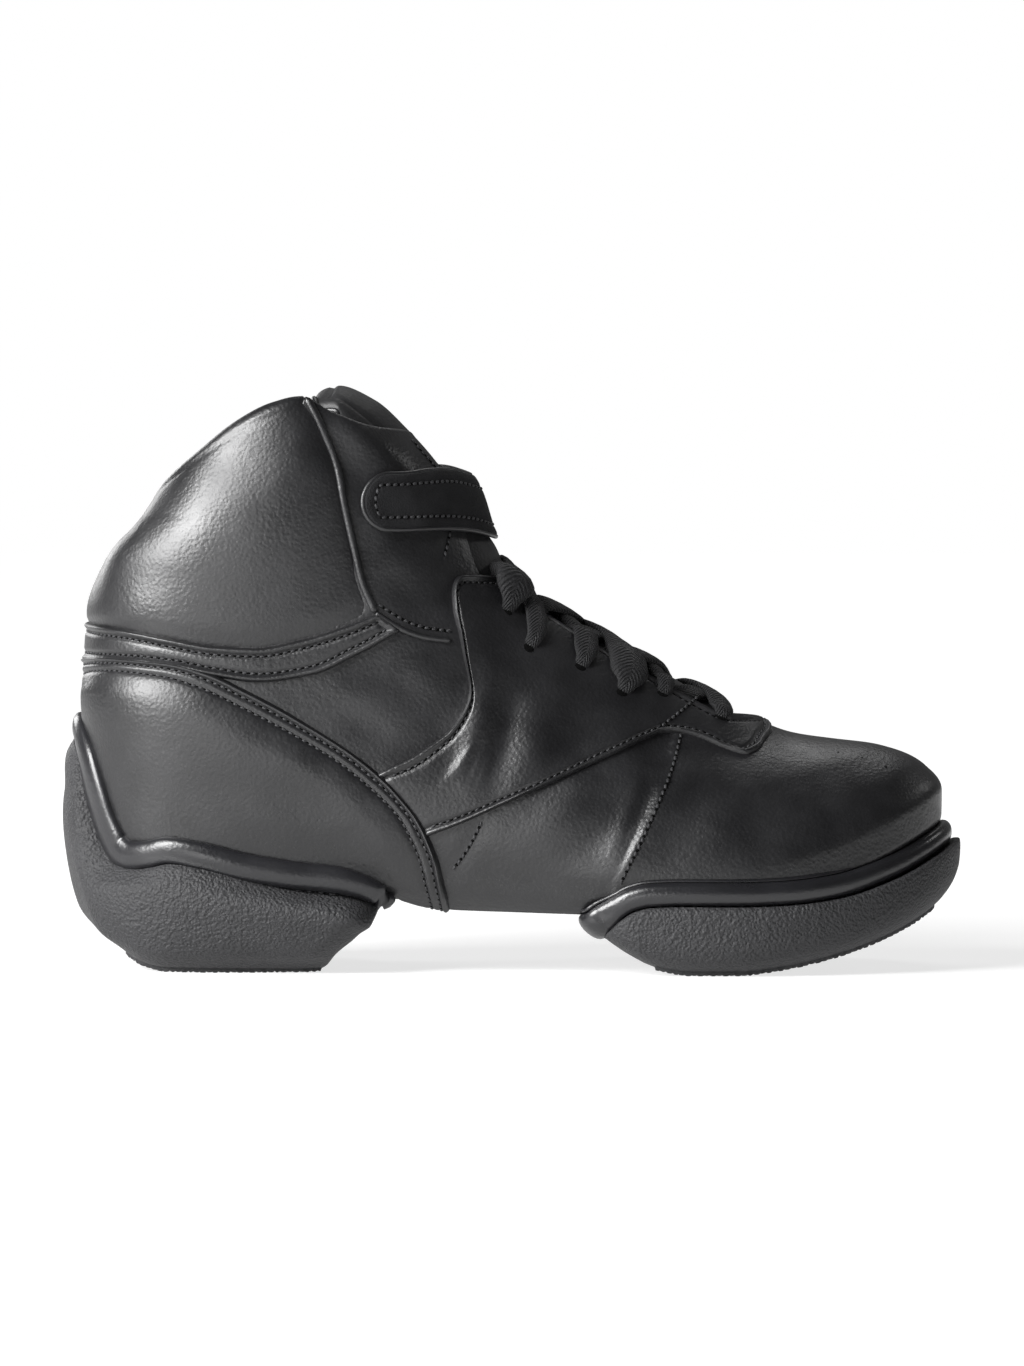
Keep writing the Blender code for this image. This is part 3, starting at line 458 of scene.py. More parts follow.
def object_place(tree):
    """Object coordinates, in metres."""
    return node(tree, "ShaderNodeTexCoord").outputs["Object"]


def add(tree, first, second, share=1.0):
    """first + share * second, as one Math node."""
    made = node(tree, "ShaderNodeMath", operation="MULTIPLY_ADD")
    tree.links.new(second, made.inputs[0])
    made.inputs[1].default_value = share
    tree.links.new(first, made.inputs[2])
    return made.outputs[0]


def bump(tree, shader, height, strength, distance):
    """Bump from a height, in metres, into the shader's normal."""
    made = node(tree, "ShaderNodeBump", [("Height", height)], Strength=strength, Distance=distance)
    tree.links.new(made.outputs["Normal"], shader.inputs["Normal"])


def noise(tree, place, scale, detail):
    """Noise texture's value at a place."""
    return node(tree, "ShaderNodeTexNoise", [("Vector", place)], Scale=scale, Detail=detail).outputs[0]


def ramp(tree, source, before, after):
    """A value carried from one span to another, held at both ends."""
    return node(tree, "ShaderNodeMapRange", [("Value", source)], From_Min=before[0], From_Max=before[1],
                To_Min=after[0], To_Max=after[1]).outputs[0]


def vary(tree, shader, source, colour, spread, roughness):
    """Colour and roughness that drift with a texture between two values each."""
    dark, pale = ([c * k for c in colour] + [1] for k in (1 - spread, 1 + spread))
    mix = node(tree, "ShaderNodeMix", data_type="RGBA")
    tree.links.new(ramp(tree, source, DRIFT, (0.0, 1.0)), mix.inputs["Factor"])
    mix.inputs[6].default_value, mix.inputs[7].default_value = dark, pale
    tree.links.new(mix.outputs[2], shader.inputs["Base Color"])
    tree.links.new(ramp(tree, source, DRIFT, roughness), shader.inputs["Roughness"])


def leather_finish(name, colour, roughness=(0.33, 0.45)):
    """Satin leather: pores on a fine cell pattern, soft unevenness and a few hair creases."""
    material, tree, shader = new_finish(name, colour, roughness[0], specular=0.75)
    place = object_place(tree)
    vary(tree, shader, noise(tree, place, 70.0, 3.0), colour, 0.22, roughness)
    cells = node(tree, "ShaderNodeTexVoronoi", [("Vector", place)], feature="SMOOTH_F1", Scale=980.0)
    creases = node(tree, "ShaderNodeTexNoise", [("Vector", place)], noise_type="RIDGED_MULTIFRACTAL",
                   Scale=110.0, Detail=3.0)
    height = add(tree, cells.outputs["Distance"], noise(tree, place, 2600.0, 2.0), 0.35)
    height = add(tree, height, noise(tree, place, 150.0, 2.0))
    height = add(tree, height, creases.outputs[0], -0.08)
    bump(tree, shader, height, 0.44, 0.00022)
    return material


def rubber_finish(name, colour, roughness=(0.50, 0.62), pebble=1.0, coat=0.0, specular=0.36):
    """Moulded rubber with a pebble grain."""
    material, tree, shader = new_finish(name, colour, roughness[0], specular=specular, coat=coat,
                                        coat_roughness=0.22)
    place = object_place(tree)
    vary(tree, shader, noise(tree, place, 60.0, 3.0), colour, 0.16, roughness)
    pebbles = node(tree, "ShaderNodeTexVoronoi", [("Vector", place)], feature="SMOOTH_F1", Scale=1050.0)
    height = add(tree, pebbles.outputs["Distance"], noise(tree, place, 1500.0, 2.0), 0.8)
    bump(tree, shader, height, 0.9 * pebble, 0.0006)
    return material


def nap_finish(name, colour, roughness=0.95, specular=0.12):
    """Napped cloth or spun thread."""
    material, tree, shader = new_finish(name, colour, roughness, specular=specular, sheen=0.05)
    place = object_place(tree)
    drift = noise(tree, place, 120.0, 3.0)
    vary(tree, shader, drift, colour, 0.3, (roughness - 0.06, roughness + 0.03))
    bump(tree, shader, add(tree, noise(tree, place, 1700.0, 4.0), drift, 0.8), 0.6, 0.0004)
    return material


def braid_finish(name, colour, ribs, depth):
    """Plaited cord: chevron ribs in the piece's own UV, so many to a unit of u, with v across it."""
    material, tree, shader = new_finish(name, colour, 0.72, specular=0.3, sheen=0.05)
    coords = node(tree, "ShaderNodeTexCoord").outputs["UV"]
    split = node(tree, "ShaderNodeSeparateXYZ", [("Vector", coords)])
    shifted = node(tree, "ShaderNodeMath", [(0, split.outputs["Y"])], operation="SUBTRACT")
    shifted.inputs[1].default_value = 0.5
    folded = node(tree, "ShaderNodeMath", [(0, shifted.outputs[0])], operation="ABSOLUTE")
    slanted = add(tree, split.outputs["X"], folded.outputs[0], 3.0)
    waves = node(tree, "ShaderNodeMath", [(0, slanted)], operation="MULTIPLY")
    waves.inputs[1].default_value = math.tau * ribs
    rib = node(tree, "ShaderNodeMath", [(0, waves.outputs[0])], operation="SINE")
    strands = noise(tree, object_place(tree), 1800.0, 3.0)
    vary(tree, shader, strands, colour, 0.35, (0.62, 0.8))
    bump(tree, shader, add(tree, rib.outputs[0], strands, 2.4), 0.8, depth)
    return material


def weave_finish(name, colour):
    """Knitted lining: two sets of fine ribs on Object coordinates."""
    material, tree, shader = new_finish(name, colour, 0.85, specular=0.2, sheen=0.05)
    place = object_place(tree)
    ribs = [node(tree, "ShaderNodeTexWave", [("Vector", place)], bands_direction=way, Scale=330.0,
                 Distortion=0.6) for way in ("X", "Z")]
    vary(tree, shader, noise(tree, place, 200.0, 3.0), colour, 0.2, (0.8, 0.92))
    bump(tree, shader, add(tree, ribs[0].outputs["Fac"], ribs[1].outputs["Fac"]), 0.5, 0.00025)
    return material


# Panels. Columns: x, height of the ankle band's upper edge
ANKLE_BAND = np.array([
    (-127.6, 103.5), (-114, 101.6), (-102, 99.4), (-88, 97.0), (-76, 96.4), (-62, 98.9), (-50, 102.6),
    (-40, 106.4)])
# Columns: x, height of the band's lower edge
BAND_LOW = np.array([
    (-127.6, 91.6), (-114, 91.4), (-102, 90.4), (-88, 87.8), (-75, 86.2), (-60, 88.2), (-46, 94.2),
    (-33.0, 101.2)])

# Columns: height, x of the seam between the collar pad and the front ankle panel
PAD_SEAM = np.array([
    (100, -39.0), (106.7, -40.8), (116, -44.6), (124.3, -46.6), (138.9, -49.9), (150.1, -52.0),
    (161.8, -56.8), (172.5, -62.4)])

# Collar pad
PAD_TUCK = 2.0        # how far it starts below the ankle band's upper edge
PAD_ROLL = (1.2, 3.0)  # radius of the roll over the rim at its ends, and what it gains between them
PAD_SWELL = (1.9, 0.62, 0.30)  # second swell: share of the crown, place up the outside, reach
PAD_DEPTH = 44.0      # how far it goes down the inside
PAD_INNER = 1.2       # swell of its inside
PAD_BACK = -2.6       # lift of its hidden face
PAD_LINED = 74        # row of its grid from which the lining covers it
PAD_BED = 1.9         # how far the upper is pressed in under it
PAD_ABOVE = 3.5       # how far the upper's rim stays below the pad's
PIPING_STOP = 2.4     # how far the piping in front of it ends below the seam's top

# Columns: x and height of the counter's top edge, turn and height of its lower edge under the bead
COUNTER = np.array([
    (-127.6, 92.8, 0.0, 70.0), (-118, 93.4, 0.10, 66.5), (-102, 92.2, 0.19, 50.0),
    (-90, 89.2, 0.29, 35.0), (-78, 83.6, 0.42, 33.6), (-66, 77.2, 0.55, 34.6), (-54, 69.8, 0.67, 34.0),
    (-41.5, 61.0, 0.79, 31.6), (-33.5, 53.4, 0.90, 29.6), (-27.5, 46.0, 0.98, 28.0),
    (-23.5, 38.0, 1.05, 26.8), (-21, 30.0, 1.11, 25.4), (-19.4, 23.0, 1.16, 24.4)])
# Columns: the same under the arch, where both edges run to the middle: x of the two edges, rise of both
COUNTER_UNDER = np.array([
    (-18.8, -38.0, -1.0), (-18.4, -40.0, -8.0), (-18.0, -42.0, -16.0), (-18.0, -43.0, -24.0)])

# Columns: x and height of the facing's outer edge, x and height of its rear edge
FACING_REAR = np.array([
    (-29.5, 37.6, -46.0, 56.4), (-24.6, 41.0, -38.6, 60.2), (-19.0, 43.2, -25.6, 67.2),
    (-13.5, 45.4, -17.4, 73.6), (-8.6, 47.6, -13.2, 81.6), (-4.6, 49.4, -15.2, 96.0),
    (-1.0, 51.0, -18.0, 109.0), (2.0, 52.4, -15.2, 117.6)])
# Columns: x and height of the facing's outer edge, rise of its edge along the throat
FACING_FRONT = np.array([
    (6.5, 54.4, 98.0), (13.5, 57.5, 91.5), (22.0, 61.3, 85.0), (31.0, 65.3, 77.5), (38.5, 68.8, 71.0),
    (44.5, 70.8, 66.0), (50.5, 70.2, 62.0), (57.0, 68.2, 59.4), (63.0, 65.6, 58.2), (69.4, 63.8, 57.4),
    (73.4, 65.4, 56.8), (75.4, 67.8, 56.2)])
FACING_TIP = 52.3     # rise of the facing's front edge in the middle
# Columns: x and height of the seam between quarter and vamp
VAMP_SEAM = np.array([(47.8, 70.5), (45.5, 62.0), (41.5, 52.0), (36.0, 40.0), (29.5, 27.0)])
VAMP_STEP = 0.6       # how far the vamp lies on top of the quarter

# Folded edges of the leather
FOLD_ROUND = 1.2
FOLD_RIDGE = 0.55
CHANNEL = 0.65
EDGE_ROW = 2.6        # from a panel's edge to its stitches
COUNTER_ROWS = (2.3, 5.2)  # the counter's two rows of stitches, from its edge
COUNTER_EXTRA = 0.4   # how much thicker the counter is than the other panels
COUNTER_SWELL = 1.7
PANEL_SUNK = 0.1      # how far the edge of a panel lies in the upper
PANEL_UNDER = -0.6    # lift of a panel's hidden face
# Distances from a panel's edge at which its grid has a row
EDGE_ROWS = np.array([0, 0.2, 0.5, 0.9, 1.3, 1.7, 2.1, 2.5, 2.9, 3.4, 4.0, 4.6, 5.2, 5.8, 6.6])


def seam_x(height):
    """x of the seam in front of the collar pad."""
    return smooth(PAD_SEAM, height)[..., 0]


def under_pad(points):
    """How far points lie under the collar pad: 1 inside its two edges, fading over a few millimetres."""
    x, z = points[..., 0], points[..., 2]
    return blend(1, 6, seam_x(z) - x) * blend(0, 5, z - smooth(ANKLE_BAND, x)[..., 0])


def before_vamp_seam(points):
    """1 on the vamp in front of its seam, 0 on the quarter, with a step less than a millimetre wide."""
    start, end = VAMP_SEAM[0], VAMP_SEAM[-1]
    x = np.interp(points[..., 2], VAMP_SEAM[::-1, 1], VAMP_SEAM[::-1, 0])
    slope = (start - end)[1] / np.linalg.norm(start - end)
    return blend(-0.4, 0.5, (points[..., 0] - x) * slope)


def upper_columns(rim_count, throat_count, end_count):
    """Base turn, top turn of each side and top rise for each column from heel to toe."""
    share = np.arange(rim_count) / rim_count
    x = np.linspace(RIM[0, 0], RIM[-1, 0], 800)
    seen = turn_at(x, smooth(RIM, x)[:, 0] - foot_line(x))
    behind = max(np.count_nonzero(seen == 0) - 1, 0)
    x = np.interp(seen[-1] * share, seen[behind:], x[behind:])
    rim_rise = smooth(RIM, x)[:, 0] - foot_line(x)
    rim_turn = seen[-1] * share
    top, low = RIM[-1, 1] - foot_line(RIM[-1, 0]), THROAT[0, 0]
    rise = top + (low - top) * np.linspace(0, 1, throat_count)
    gap = smooth(THROAT, rise)[:, 0]
    arc = np.linspace(0, math.pi / 2, end_count + 1)[1:]
    rise = np.concatenate([rise, low - (low - THROAT_FRONT) * np.sin(arc)])
    gap = np.concatenate([gap, THROAT[0, 1] * np.cos(arc)])
    turns = [np.concatenate([rim_turn, throat_turn(rise, gap, side)]) for side in (-1, 1)]
    for turn in turns:
        turn[-1] = math.pi
    corner, bend = 0.44 * math.pi, 0.70 * math.pi
    base = np.concatenate([corner * share, np.linspace(corner, bend, throat_count),
                           np.linspace(bend, math.pi, end_count + 1)[1:]])
    return base, turns, np.concatenate([rim_rise, rise])


def upper_shell():
    """Points of the upper as closed sections, a column round the shoe each, and the lining's first row.

    A section runs from the bottom's inner edge, or from the middle seam at the arch, outwards and up the
    outside to the rim, over it in a half round, down the lining and back along the inside of the bottom.
    """
    base, tops, top_rise = upper_columns(86, 76, 52)
    outside = np.linspace(0, 1, 92)[:, None]
    roll = np.linspace(0, math.pi, 9)[:, None]
    inside = np.linspace(1, 0.03, 34)[1:, None]
    halves = []
    for side, top in zip((-1, 1), tops):
        foot = last_point(side * base, 0.0)
        half = np.abs(foot[:, 1])
        arch = blend(-60, ARCH[0] + 4, foot[:, 0]) * blend(48, ARCH[1] - 4, foot[:, 0])
        reach = TURNED_IN + np.maximum(half - TURNED_IN - 0.1, 0) * arch
        reach = np.minimum(reach, np.maximum(half - 0.1, 0.2))
        rim = last_point(side * top, top_rise)
        high = top_rise - PAD_ABOVE * under_pad(rim - (0, 0, 4))
        bottom = np.linspace(1, 0, 14)[:-1, None] * -reach
        radius = (WALL + RIM_EXTRA * (1 - under_pad(rim))) / 2
        edge = radius / np.maximum(high, 40)
        share = np.concatenate([outside * (1 - edge), 1 - edge + edge * np.sin(roll[1:]),
                                inside * (1 - edge)])
        lift = np.concatenate([np.zeros((len(outside), len(base))), radius * (np.cos(roll[1:]) - 1),
                               np.broadcast_to(-2 * radius, (len(inside), len(base)))])
        floor = np.array([-2.0, -0.5, -1.0])[:, None] * np.stack([np.ones_like(reach), reach, reach])
        turn = side * np.concatenate([np.broadcast_to(base, bottom.shape), base + (top - base) * share,
                                      np.broadcast_to(base, floor.shape)])
        rise = np.concatenate([bottom, high * share, np.maximum(floor, -reach)])
        lift = np.concatenate([np.zeros(bottom.shape), lift, np.broadcast_to(-2 * radius, floor.shape)])
        here = last_point(turn, rise)
        pulled = -PAD_BED * under_pad(here) + VAMP_STEP * before_vamp_seam(here) * (rise > -4)
        lift = lift + np.where(lift == 0, pulled, np.minimum(pulled, 0))
        halves.append(on_last(turn, rise, lift))
    lining = len(bottom) + len(outside) + len(roll) // 2
    return np.concatenate([halves[0], halves[1][:, -2:0:-1]], axis=1), lining


def panel_grid(low, high, middle_rows):
    """Turn and rise over a panel between two edges, with the distance from each edge.

    Both edges are rows of turn and rise. The rows of the grid crowd near the edges at EDGE_ROWS.
    """
    low, high = np.asarray(low), np.asarray(high)
    steps = low[:, None] + (high - low)[:, None] * np.linspace(0, 1, 17)[:, None]
    across = last_point(*steps)
    width = np.maximum(np.linalg.norm(np.diff(across, axis=0), axis=-1).sum(axis=0), 0.5)
    near = EDGE_ROWS[:, None] * np.minimum(1, 0.46 * width / EDGE_ROWS[-1]) / width
    far = 1 - near[::-1]
    inner = near[-1] + (far[0] - near[-1]) * np.linspace(0, 1, middle_rows + 2)[1:-1, None]
    share = np.concatenate([near, inner, far])
    turn, rise = (low[k] + (high[k] - low[k]) * share for k in (0, 1))
    return turn, rise, share * width, (1 - share) * width


def end_distances(turn, rise):
    """Distance of each column from the first and from the last one, along the middle row."""
    run = run_along(last_point(turn[len(turn) // 2], rise[len(turn) // 2]))
    return np.broadcast_to(run, turn.shape), np.broadcast_to(run[-1] - run, turn.shape)


def folded_leather(near, thickness, channels):
    """Height of a panel at a distance from its edge: a quarter round, a fold's ridge, stitch channels."""
    height = thickness * quarter_round(near, FOLD_ROUND) + FOLD_RIDGE * bell(near, 1.0, 0.75)
    for place in channels:
        height = height - CHANNEL * bell(near, place, 0.7)
    return height


def under_counter(points):
    """1 under the counter's top edge as the side view has it, 0 above it, with a soft step."""
    x, z = points[..., 0], points[..., 2]
    edge = smooth(COUNTER[:, :2], x)[..., 0]
    slope = (smooth(COUNTER[:, :2], x + 1) - smooth(COUNTER[:, :2], x - 1))[..., 0] / 2
    inside = np.where(x < COUNTER[-1, 0], (edge - z) / np.sqrt(1 + slope ** 2), -9)
    return blend(-0.6, 2.4, inside)


def under_arch(rise):
    """Share of a panel's thickness that is left where it turns under the arch."""
    return 0.4 + 0.6 * blend(-3, 6, rise)


def panel_line(low, high, distance, from_high=True):
    """Turn and rise of a line across a panel at a distance from one of its edges."""
    low, high = np.asarray(low), np.asarray(high)
    first, second = (high, low) if from_high else (low, high)
    steps = first[:, None] + (second - first)[:, None] * np.linspace(0, 1, 17)[:, None]
    width = np.linalg.norm(np.diff(last_point(*steps), axis=0), axis=-1).sum(axis=0)
    return first + (second - first) * np.minimum(distance / np.maximum(width, 0.5), 0.5)


def mirrored_edges(edge):
    """Edge on both sides, outer end first, from one side's turn and rise that start at the back."""
    turn, rise = edge
    return np.array([np.concatenate([-turn[:0:-1], turn]), np.concatenate([rise[:0:-1], rise])])


def counter_edges(count=150):
    """Low and high edge of the counter, from its outer tip under the arch round the heel to the inner."""
    high = np.column_stack(side_curve(COUNTER[:, 0], COUNTER[:, 1]))
    low = np.column_stack([COUNTER[:, 2], COUNTER[:, 3] - foot_line(last_point(COUNTER[:, 2], 6.0)[:, 0])])
    level = np.zeros(len(COUNTER_UNDER))
    high, low = (np.vstack([edge, np.column_stack([turn_at(x, level), COUNTER_UNDER[:, 2]])])
                 for edge, x in ((high, COUNTER_UNDER[:, 0]), (low, COUNTER_UNDER[:, 1])))
    high[0, 0] = 0
    run = along_rows(np.hstack([low, high]), count).T
    return mirrored_edges(run[:2]), mirrored_edges(run[2:])


def band_edges(count=120):
    """Low and high edge of the ankle band, whose ends slant under the front ankle panel."""
    edges = [along_rows(np.column_stack(side_curve(*table.T)), count).T
             for table in (BAND_LOW, ANKLE_BAND)]
    for turn, _ in edges:
        turn[0] = 0
    return [mirrored_edges(edge) for edge in edges]


def facing_edges(count=130):
    """Outer edge and throat edge of the facing, from its inner rear end round the front to the outer."""
    outer = np.vstack([FACING_REAR[:, :2], FACING_FRONT[:, :2]])
    outer_turn, outer_rise = side_curve(outer[:, 0], outer[:, 1])
    rear_turn, rear_rise = side_curve(FACING_REAR[:, 2], FACING_REAR[:, 3])
    front_rise = FACING_FRONT[:, 2]
    end = np.clip((front_rise - THROAT_FRONT) / (THROAT[0, 0] - THROAT_FRONT), 0, 1)
    gap = smooth(THROAT, front_rise)[:, 0] * np.sqrt(1 - (1 - end) ** 2) + 1.2
    halves = []
    for side in (1, -1):
        run = along_rows(np.column_stack([
            np.append(outer_turn, math.pi), np.append(outer_rise, FACING_TIP),
            np.concatenate([rear_turn, throat_turn(front_rise, gap, side), [math.pi]]),
            np.concatenate([rear_rise, front_rise, [THROAT_FRONT - 0.8]])]), count)
        run[:, [0, 2]] *= side
        halves.append(run)
    halves[1][:, [0, 2]] += math.tau
    run = np.vstack([halves[0], halves[1][-2::-1]]).T
    return run[:2], run[2:]


def leather_panel(name, edges, middle_rows, thickness, channels, replaces, swell=0.0, tucked=False):
    """Closed panel on the upper between two edges, with folded borders all round.

    Inside its stitches it swells over a few millimetres and sinks again further in, less so at the very
    back; a tucked panel thins out under the counter.
    """
    turn, rise, from_low, from_high = panel_grid(*edges, middle_rows)
    near = np.minimum.reduce([from_low, from_high, *end_distances(turn, rise)])
    puff = (blend(3.6, 14.0, from_high) - 0.6 * blend(16, 40, from_high)) * blend(0, 8, near)
    puff = puff * blend(2, 16, rise) * (0.25 + 0.75 * blend(0.04, 0.2, np.abs(turn)))
    height = (folded_leather(near, thickness, channels) + swell * puff) * under_arch(rise)
    if tucked:
        height = height * (1 - 0.8 * under_counter(last_point(turn, rise)))
    panel = slab(on_last(turn, rise, height - PANEL_SUNK), on_last(turn, rise, PANEL_UNDER))
    new_piece(name, *panel, [finish("leather")], "leather", replaces)


def collar_pad(crown):
    """Points of the collar pad as closed sections, one for each column from outer to inner front seam.

    With s up the outside, the lift swells by the crown times a rounded bell in s, with a second bell
    higher up that leaves out the very back. The section then goes over the rim in a half circle, down
    the inside with a flatter swell, and back within the wall.
    """
    across = np.linspace(-1, 1, 241)
    share = np.abs(across)

    def at_edge(x, height):
        turn, rise = side_curve(x, height)
        return turn / turn_at(seam_x(height), rise), rise

    x = np.linspace(RIM[0, 0], PAD_SEAM[-1, 1], 300)
    rim_share, rim_rise = at_edge(x, smooth(RIM, x)[:, 0])
    x = np.linspace(ANKLE_BAND[0, 0], ANKLE_BAND[-1, 0], 300)
    low_share, low_rise = at_edge(x, smooth(ANKLE_BAND, x)[:, 0] - PAD_TUCK)
    rim = np.interp(share, np.maximum.accumulate(rim_share), rim_rise)
    low = np.interp(share, np.maximum.accumulate(low_share), low_rise)
    radius = PAD_ROLL[0] + PAD_ROLL[1] * np.sqrt(np.clip(1 - share ** 6, 0, 1))
    centre = rim - radius
    s = np.linspace(0, 1, 60)[:, None]
    swell = np.sqrt(np.clip(1 - share ** 4, 0, 1))
    puff = np.clip(1 - np.abs(2 * s - 1) ** 3.2, 0, 1) ** 0.7
    puff = puff + PAD_SWELL[0] * bell(s, *PAD_SWELL[1:]) * blend(0.05, 0.3, share)
    outer_lift = -0.8 + (0.9 + crown * puff) * np.minimum(1, np.sqrt(s * 9)) * swell
    roll = np.linspace(0, math.pi, 16)[1:, None]
    middle = outer_lift[-1] - radius
    t = np.linspace(0, 1, 26)[1:, None]
    inner_lift = middle - radius - PAD_INNER * np.sin(math.pi * t) * swell + (radius - 0.6) * t ** 6
    back = np.array([0.3, 0.7])[:, None]
    rise = np.concatenate([low + (centre - low) * s, centre + radius * np.sin(roll), centre - PAD_DEPTH * t,
                           centre - PAD_DEPTH + (low - centre + PAD_DEPTH) * back])
    lift = np.concatenate([outer_lift, middle + radius * np.cos(roll), inner_lift,
                           np.broadcast_to(PAD_BACK, (len(back), len(across)))])
    height = rise + foot_line(-80.0)
    turn = across * turn_at(seam_x(height), rise)
    return on_last(turn, rise, lift)


# Tongue. Columns: x and height of its middle line, half width, cross radius
TONGUE = np.array([
    (84.0, 61.5, 14.0, 19.0), (70.0, 72.2, 16.0, 19.0), (55.0, 82.2, 17.0, 19.0),
    (38.0, 92.4, 17.5, 19.0), (20.0, 101.3, 18.0, 19.0), (3.0, 111.4, 20.5, 22.0),
    (-8.2, 124.4, 25.0, 26.5), (-14.6, 137.6, 22.0, 23.5), (-22.0, 150.0, 19.0, 20.0),
    (-31.5, 161.0, 20.0, 22.0), (-41.5, 170.0, 21.0, 26.0), (-52.0, 174.3, 20.0, 32.0),
    (-60.0, 172.0, 17.0, 36.0)])
TONGUE_THICK = 4.5
TONGUE_ROUND = 4.0    # how far in from its edges it reaches its thickness
TONGUE_SEAM = 0.7     # depth of the seam beside its binding
TONGUE_PIPED = 90     # row of its grid from which a piping runs round its top
TONGUE_BINDING = 6.5  # width of the bound edge round the tongue's top
TONGUE_BULGE = (125.0, 8.5, 3.4)  # below the strap: height, reach, how far it bulges

# Strap across the front of the ankle
STRAP_END = -44.8     # x of its round end on the outer side
STRAP_ROOT = -38.0    # x of its stitched end on the inner side
STRAP_LOW = 131.2     # height of its lower edge
STRAP_HIGH = (147.4, 149.2)  # height of its upper edge at its round end and from its middle on
STRAP_THICK = 2.2
STRAP_LIFT = 0.7      # gap under the strap, and what the front adds to it
STRAP_SLACK = 0.8
STRAP_DROP = 3.5      # how far it sags at the front, and the turn over which it does
STRAP_BELLY = 0.4
STRAP_CROWD = 0.36    # how far its columns crowd towards the round end
STRAP_ROUND = 0.9     # radius of its edges
STRAP_BORDER = 3.2    # from the strap's edge to its stitches
STRAP_CHANNEL = 0.3   # depth of the channel that they lie in

# Lace. Columns: x and height of its holes in the facing, from the top
LACE_HOLES = np.array([
    (-2.0, 106.0), (4.2, 95.6), (19.5, 89.6), (32.0, 82.0), (44.0, 81.4), (61.5, 74.2)])
LACE_THICK = 2.5
LACE_U = 3.0          # length of lace for one unit of u
LACE_GAP = 13.4       # from the middle to where the strands dip under an edge
LACE_PAST = 2.0       # how far past that edge they end
LACE_CREST = 3.0      # rise of the crossings above the crest of the last
LACE_ON_FACING = 2.4  # lift of the strands on the facing
LACE_ON_TONGUE = (-0.3, 1.4)  # lift of the lower and the upper strands between the edges
LACE_DIP = 4.0        # how deep a strand starts in its hole
LACE_BULGE = 3.4      # how far the top row stands off beside its holes
LACE_SPREAD = (1.0, 0.25, 0.4, 0.9, 0.15, 0.4)  # how far each row's strands widen beyond their holes

# Forefoot sole. Columns: x, height of its underside
FOREFOOT_UNDER = np.array([
    (18, 9.5), (24, 8.6), (32, 5.6), (39, 2.6), (46, 0.7), (52, 0.0), (67, 0.0), (79, 1.4),
    (95, 4.7), (112, 10.3), (126, 17.2), (133, 22.2), (137, 25.5)])
# Columns: share of the side's height, margin round the last, x of the back edge
FOREFOOT_WALL = np.array([
    (0.00, -3.4, 37.5), (0.06, 0.6, 33.0), (0.22, 4.4, 29.8), (0.50, 6.2, 27.8),
    (0.80, 6.5, 26.8), (0.94, 6.3, 26.5), (1.00, 5.2, 26.4)])
FOREFOOT_SEAT = ((1.0, 28.0), (0.0, 30.0))  # columns: share of the ledge's height, x of the back edge
SEAT_MARGIN = 0.6     # gap between the last and the soles' seats
WALL_RISE = 4.0       # rise of the outline that the forefoot's side follows
TAIL_FADE = (64.0, 24.0)  # x at which the slant of the tail ends, and its length
TAIL_SLANT = 7.0      # how much further forward the tail lies on the inner side
# Columns: x, height of the middle of the forefoot's welt bead
FOREFOOT_BEAD = np.array([
    (20, 13.2), (24.4, 14.8), (27.5, 17.6), (31, 20.6), (35, 22.8), (40, 24.0), (49, 24.4), (67, 24.3),
    (79, 24.6), (95, 26.3), (112, 31.3), (126, 38.2), (133, 42.6), (137, 44.8)])
BEAD_TAIL = 23.4      # x of the forefoot bead's back edge
BEAD_OUT = 2.5        # half width and half height of a bead
BEAD_UP = 3.4
BEAD_TILT = 1.15      # how far the tail's bead is turned down towards the floor
BEAD_BROAD = (4.1, 4.9)  # half heights of the heel's bead and of the forefoot's tail
BEAD_GAP = 0.35
CORNER = 9.0          # corner radius of the soles' straight ends, and of the bead's
BEAD_CORNER = 5.0

# Heel sole. Columns: turn, height of its top edge
HEEL_EDGE = np.array([
    (0.0, 68.3), (0.09, 66.4), (0.15, 62.0), (0.20, 54.0), (0.245, 43.0), (0.285, 35.0), (0.34, 31.5),
    (0.42, 30.6), (0.51, 31.4), (0.59, 32.5), (0.72, 30.7), (0.85, 27.5), (0.99, 25.1),
    (1.09, 23.9), (1.17, 21.4), (1.24, 17.0)])
# Columns: share of the side's height, rise, share of the edge's climb, margins at back and side, breast x
HEEL_WALL = np.array([
    (0.00, 0.0, 0.0, -6.0, -0.8, -56.6), (0.05, 0.0, 0.0, 5.5, 3.4, -55.2),
    (0.20, 5.0, 0.0, 11.2, 4.8, -52.6), (0.45, 12.0, 0.0, 12.4, 6.0, -47.0),
    (0.75, 22.0, 0.0, 10.4, 6.2, -42.6), (0.94, 22.0, 0.9, 7.4, 6.4, -39.9),
    (1.00, 22.0, 1.0, 5.2, 5.4, -39.0)])
HEEL_SEAT = (1, 0.75, 0.5, 0.25, 0)  # shares of the edge's height
# Columns: x, height of the heel's underside
HEEL_ROLL = np.array([(-136, 6.0), (-118, 4.2), (-110, 1.2), (-103, 0.0), (-30, 0.0)])
# Turns at which the heel's rings have points before they run to the breast
HEEL_TURNS = np.array([
    0.004, 0.05, 0.09, 0.13, 0.17, 0.20, 0.23, 0.26, 0.30, 0.36, 0.44, 0.54, 0.65, 0.76])
HEEL_BREAST = -39.0   # x of the heel's straight front end
HEEL_BACK = 0.45      # turn over which the back's margin changes to the side's
BEAD_END = 1.255      # turn at which the heel's bead ends on each side
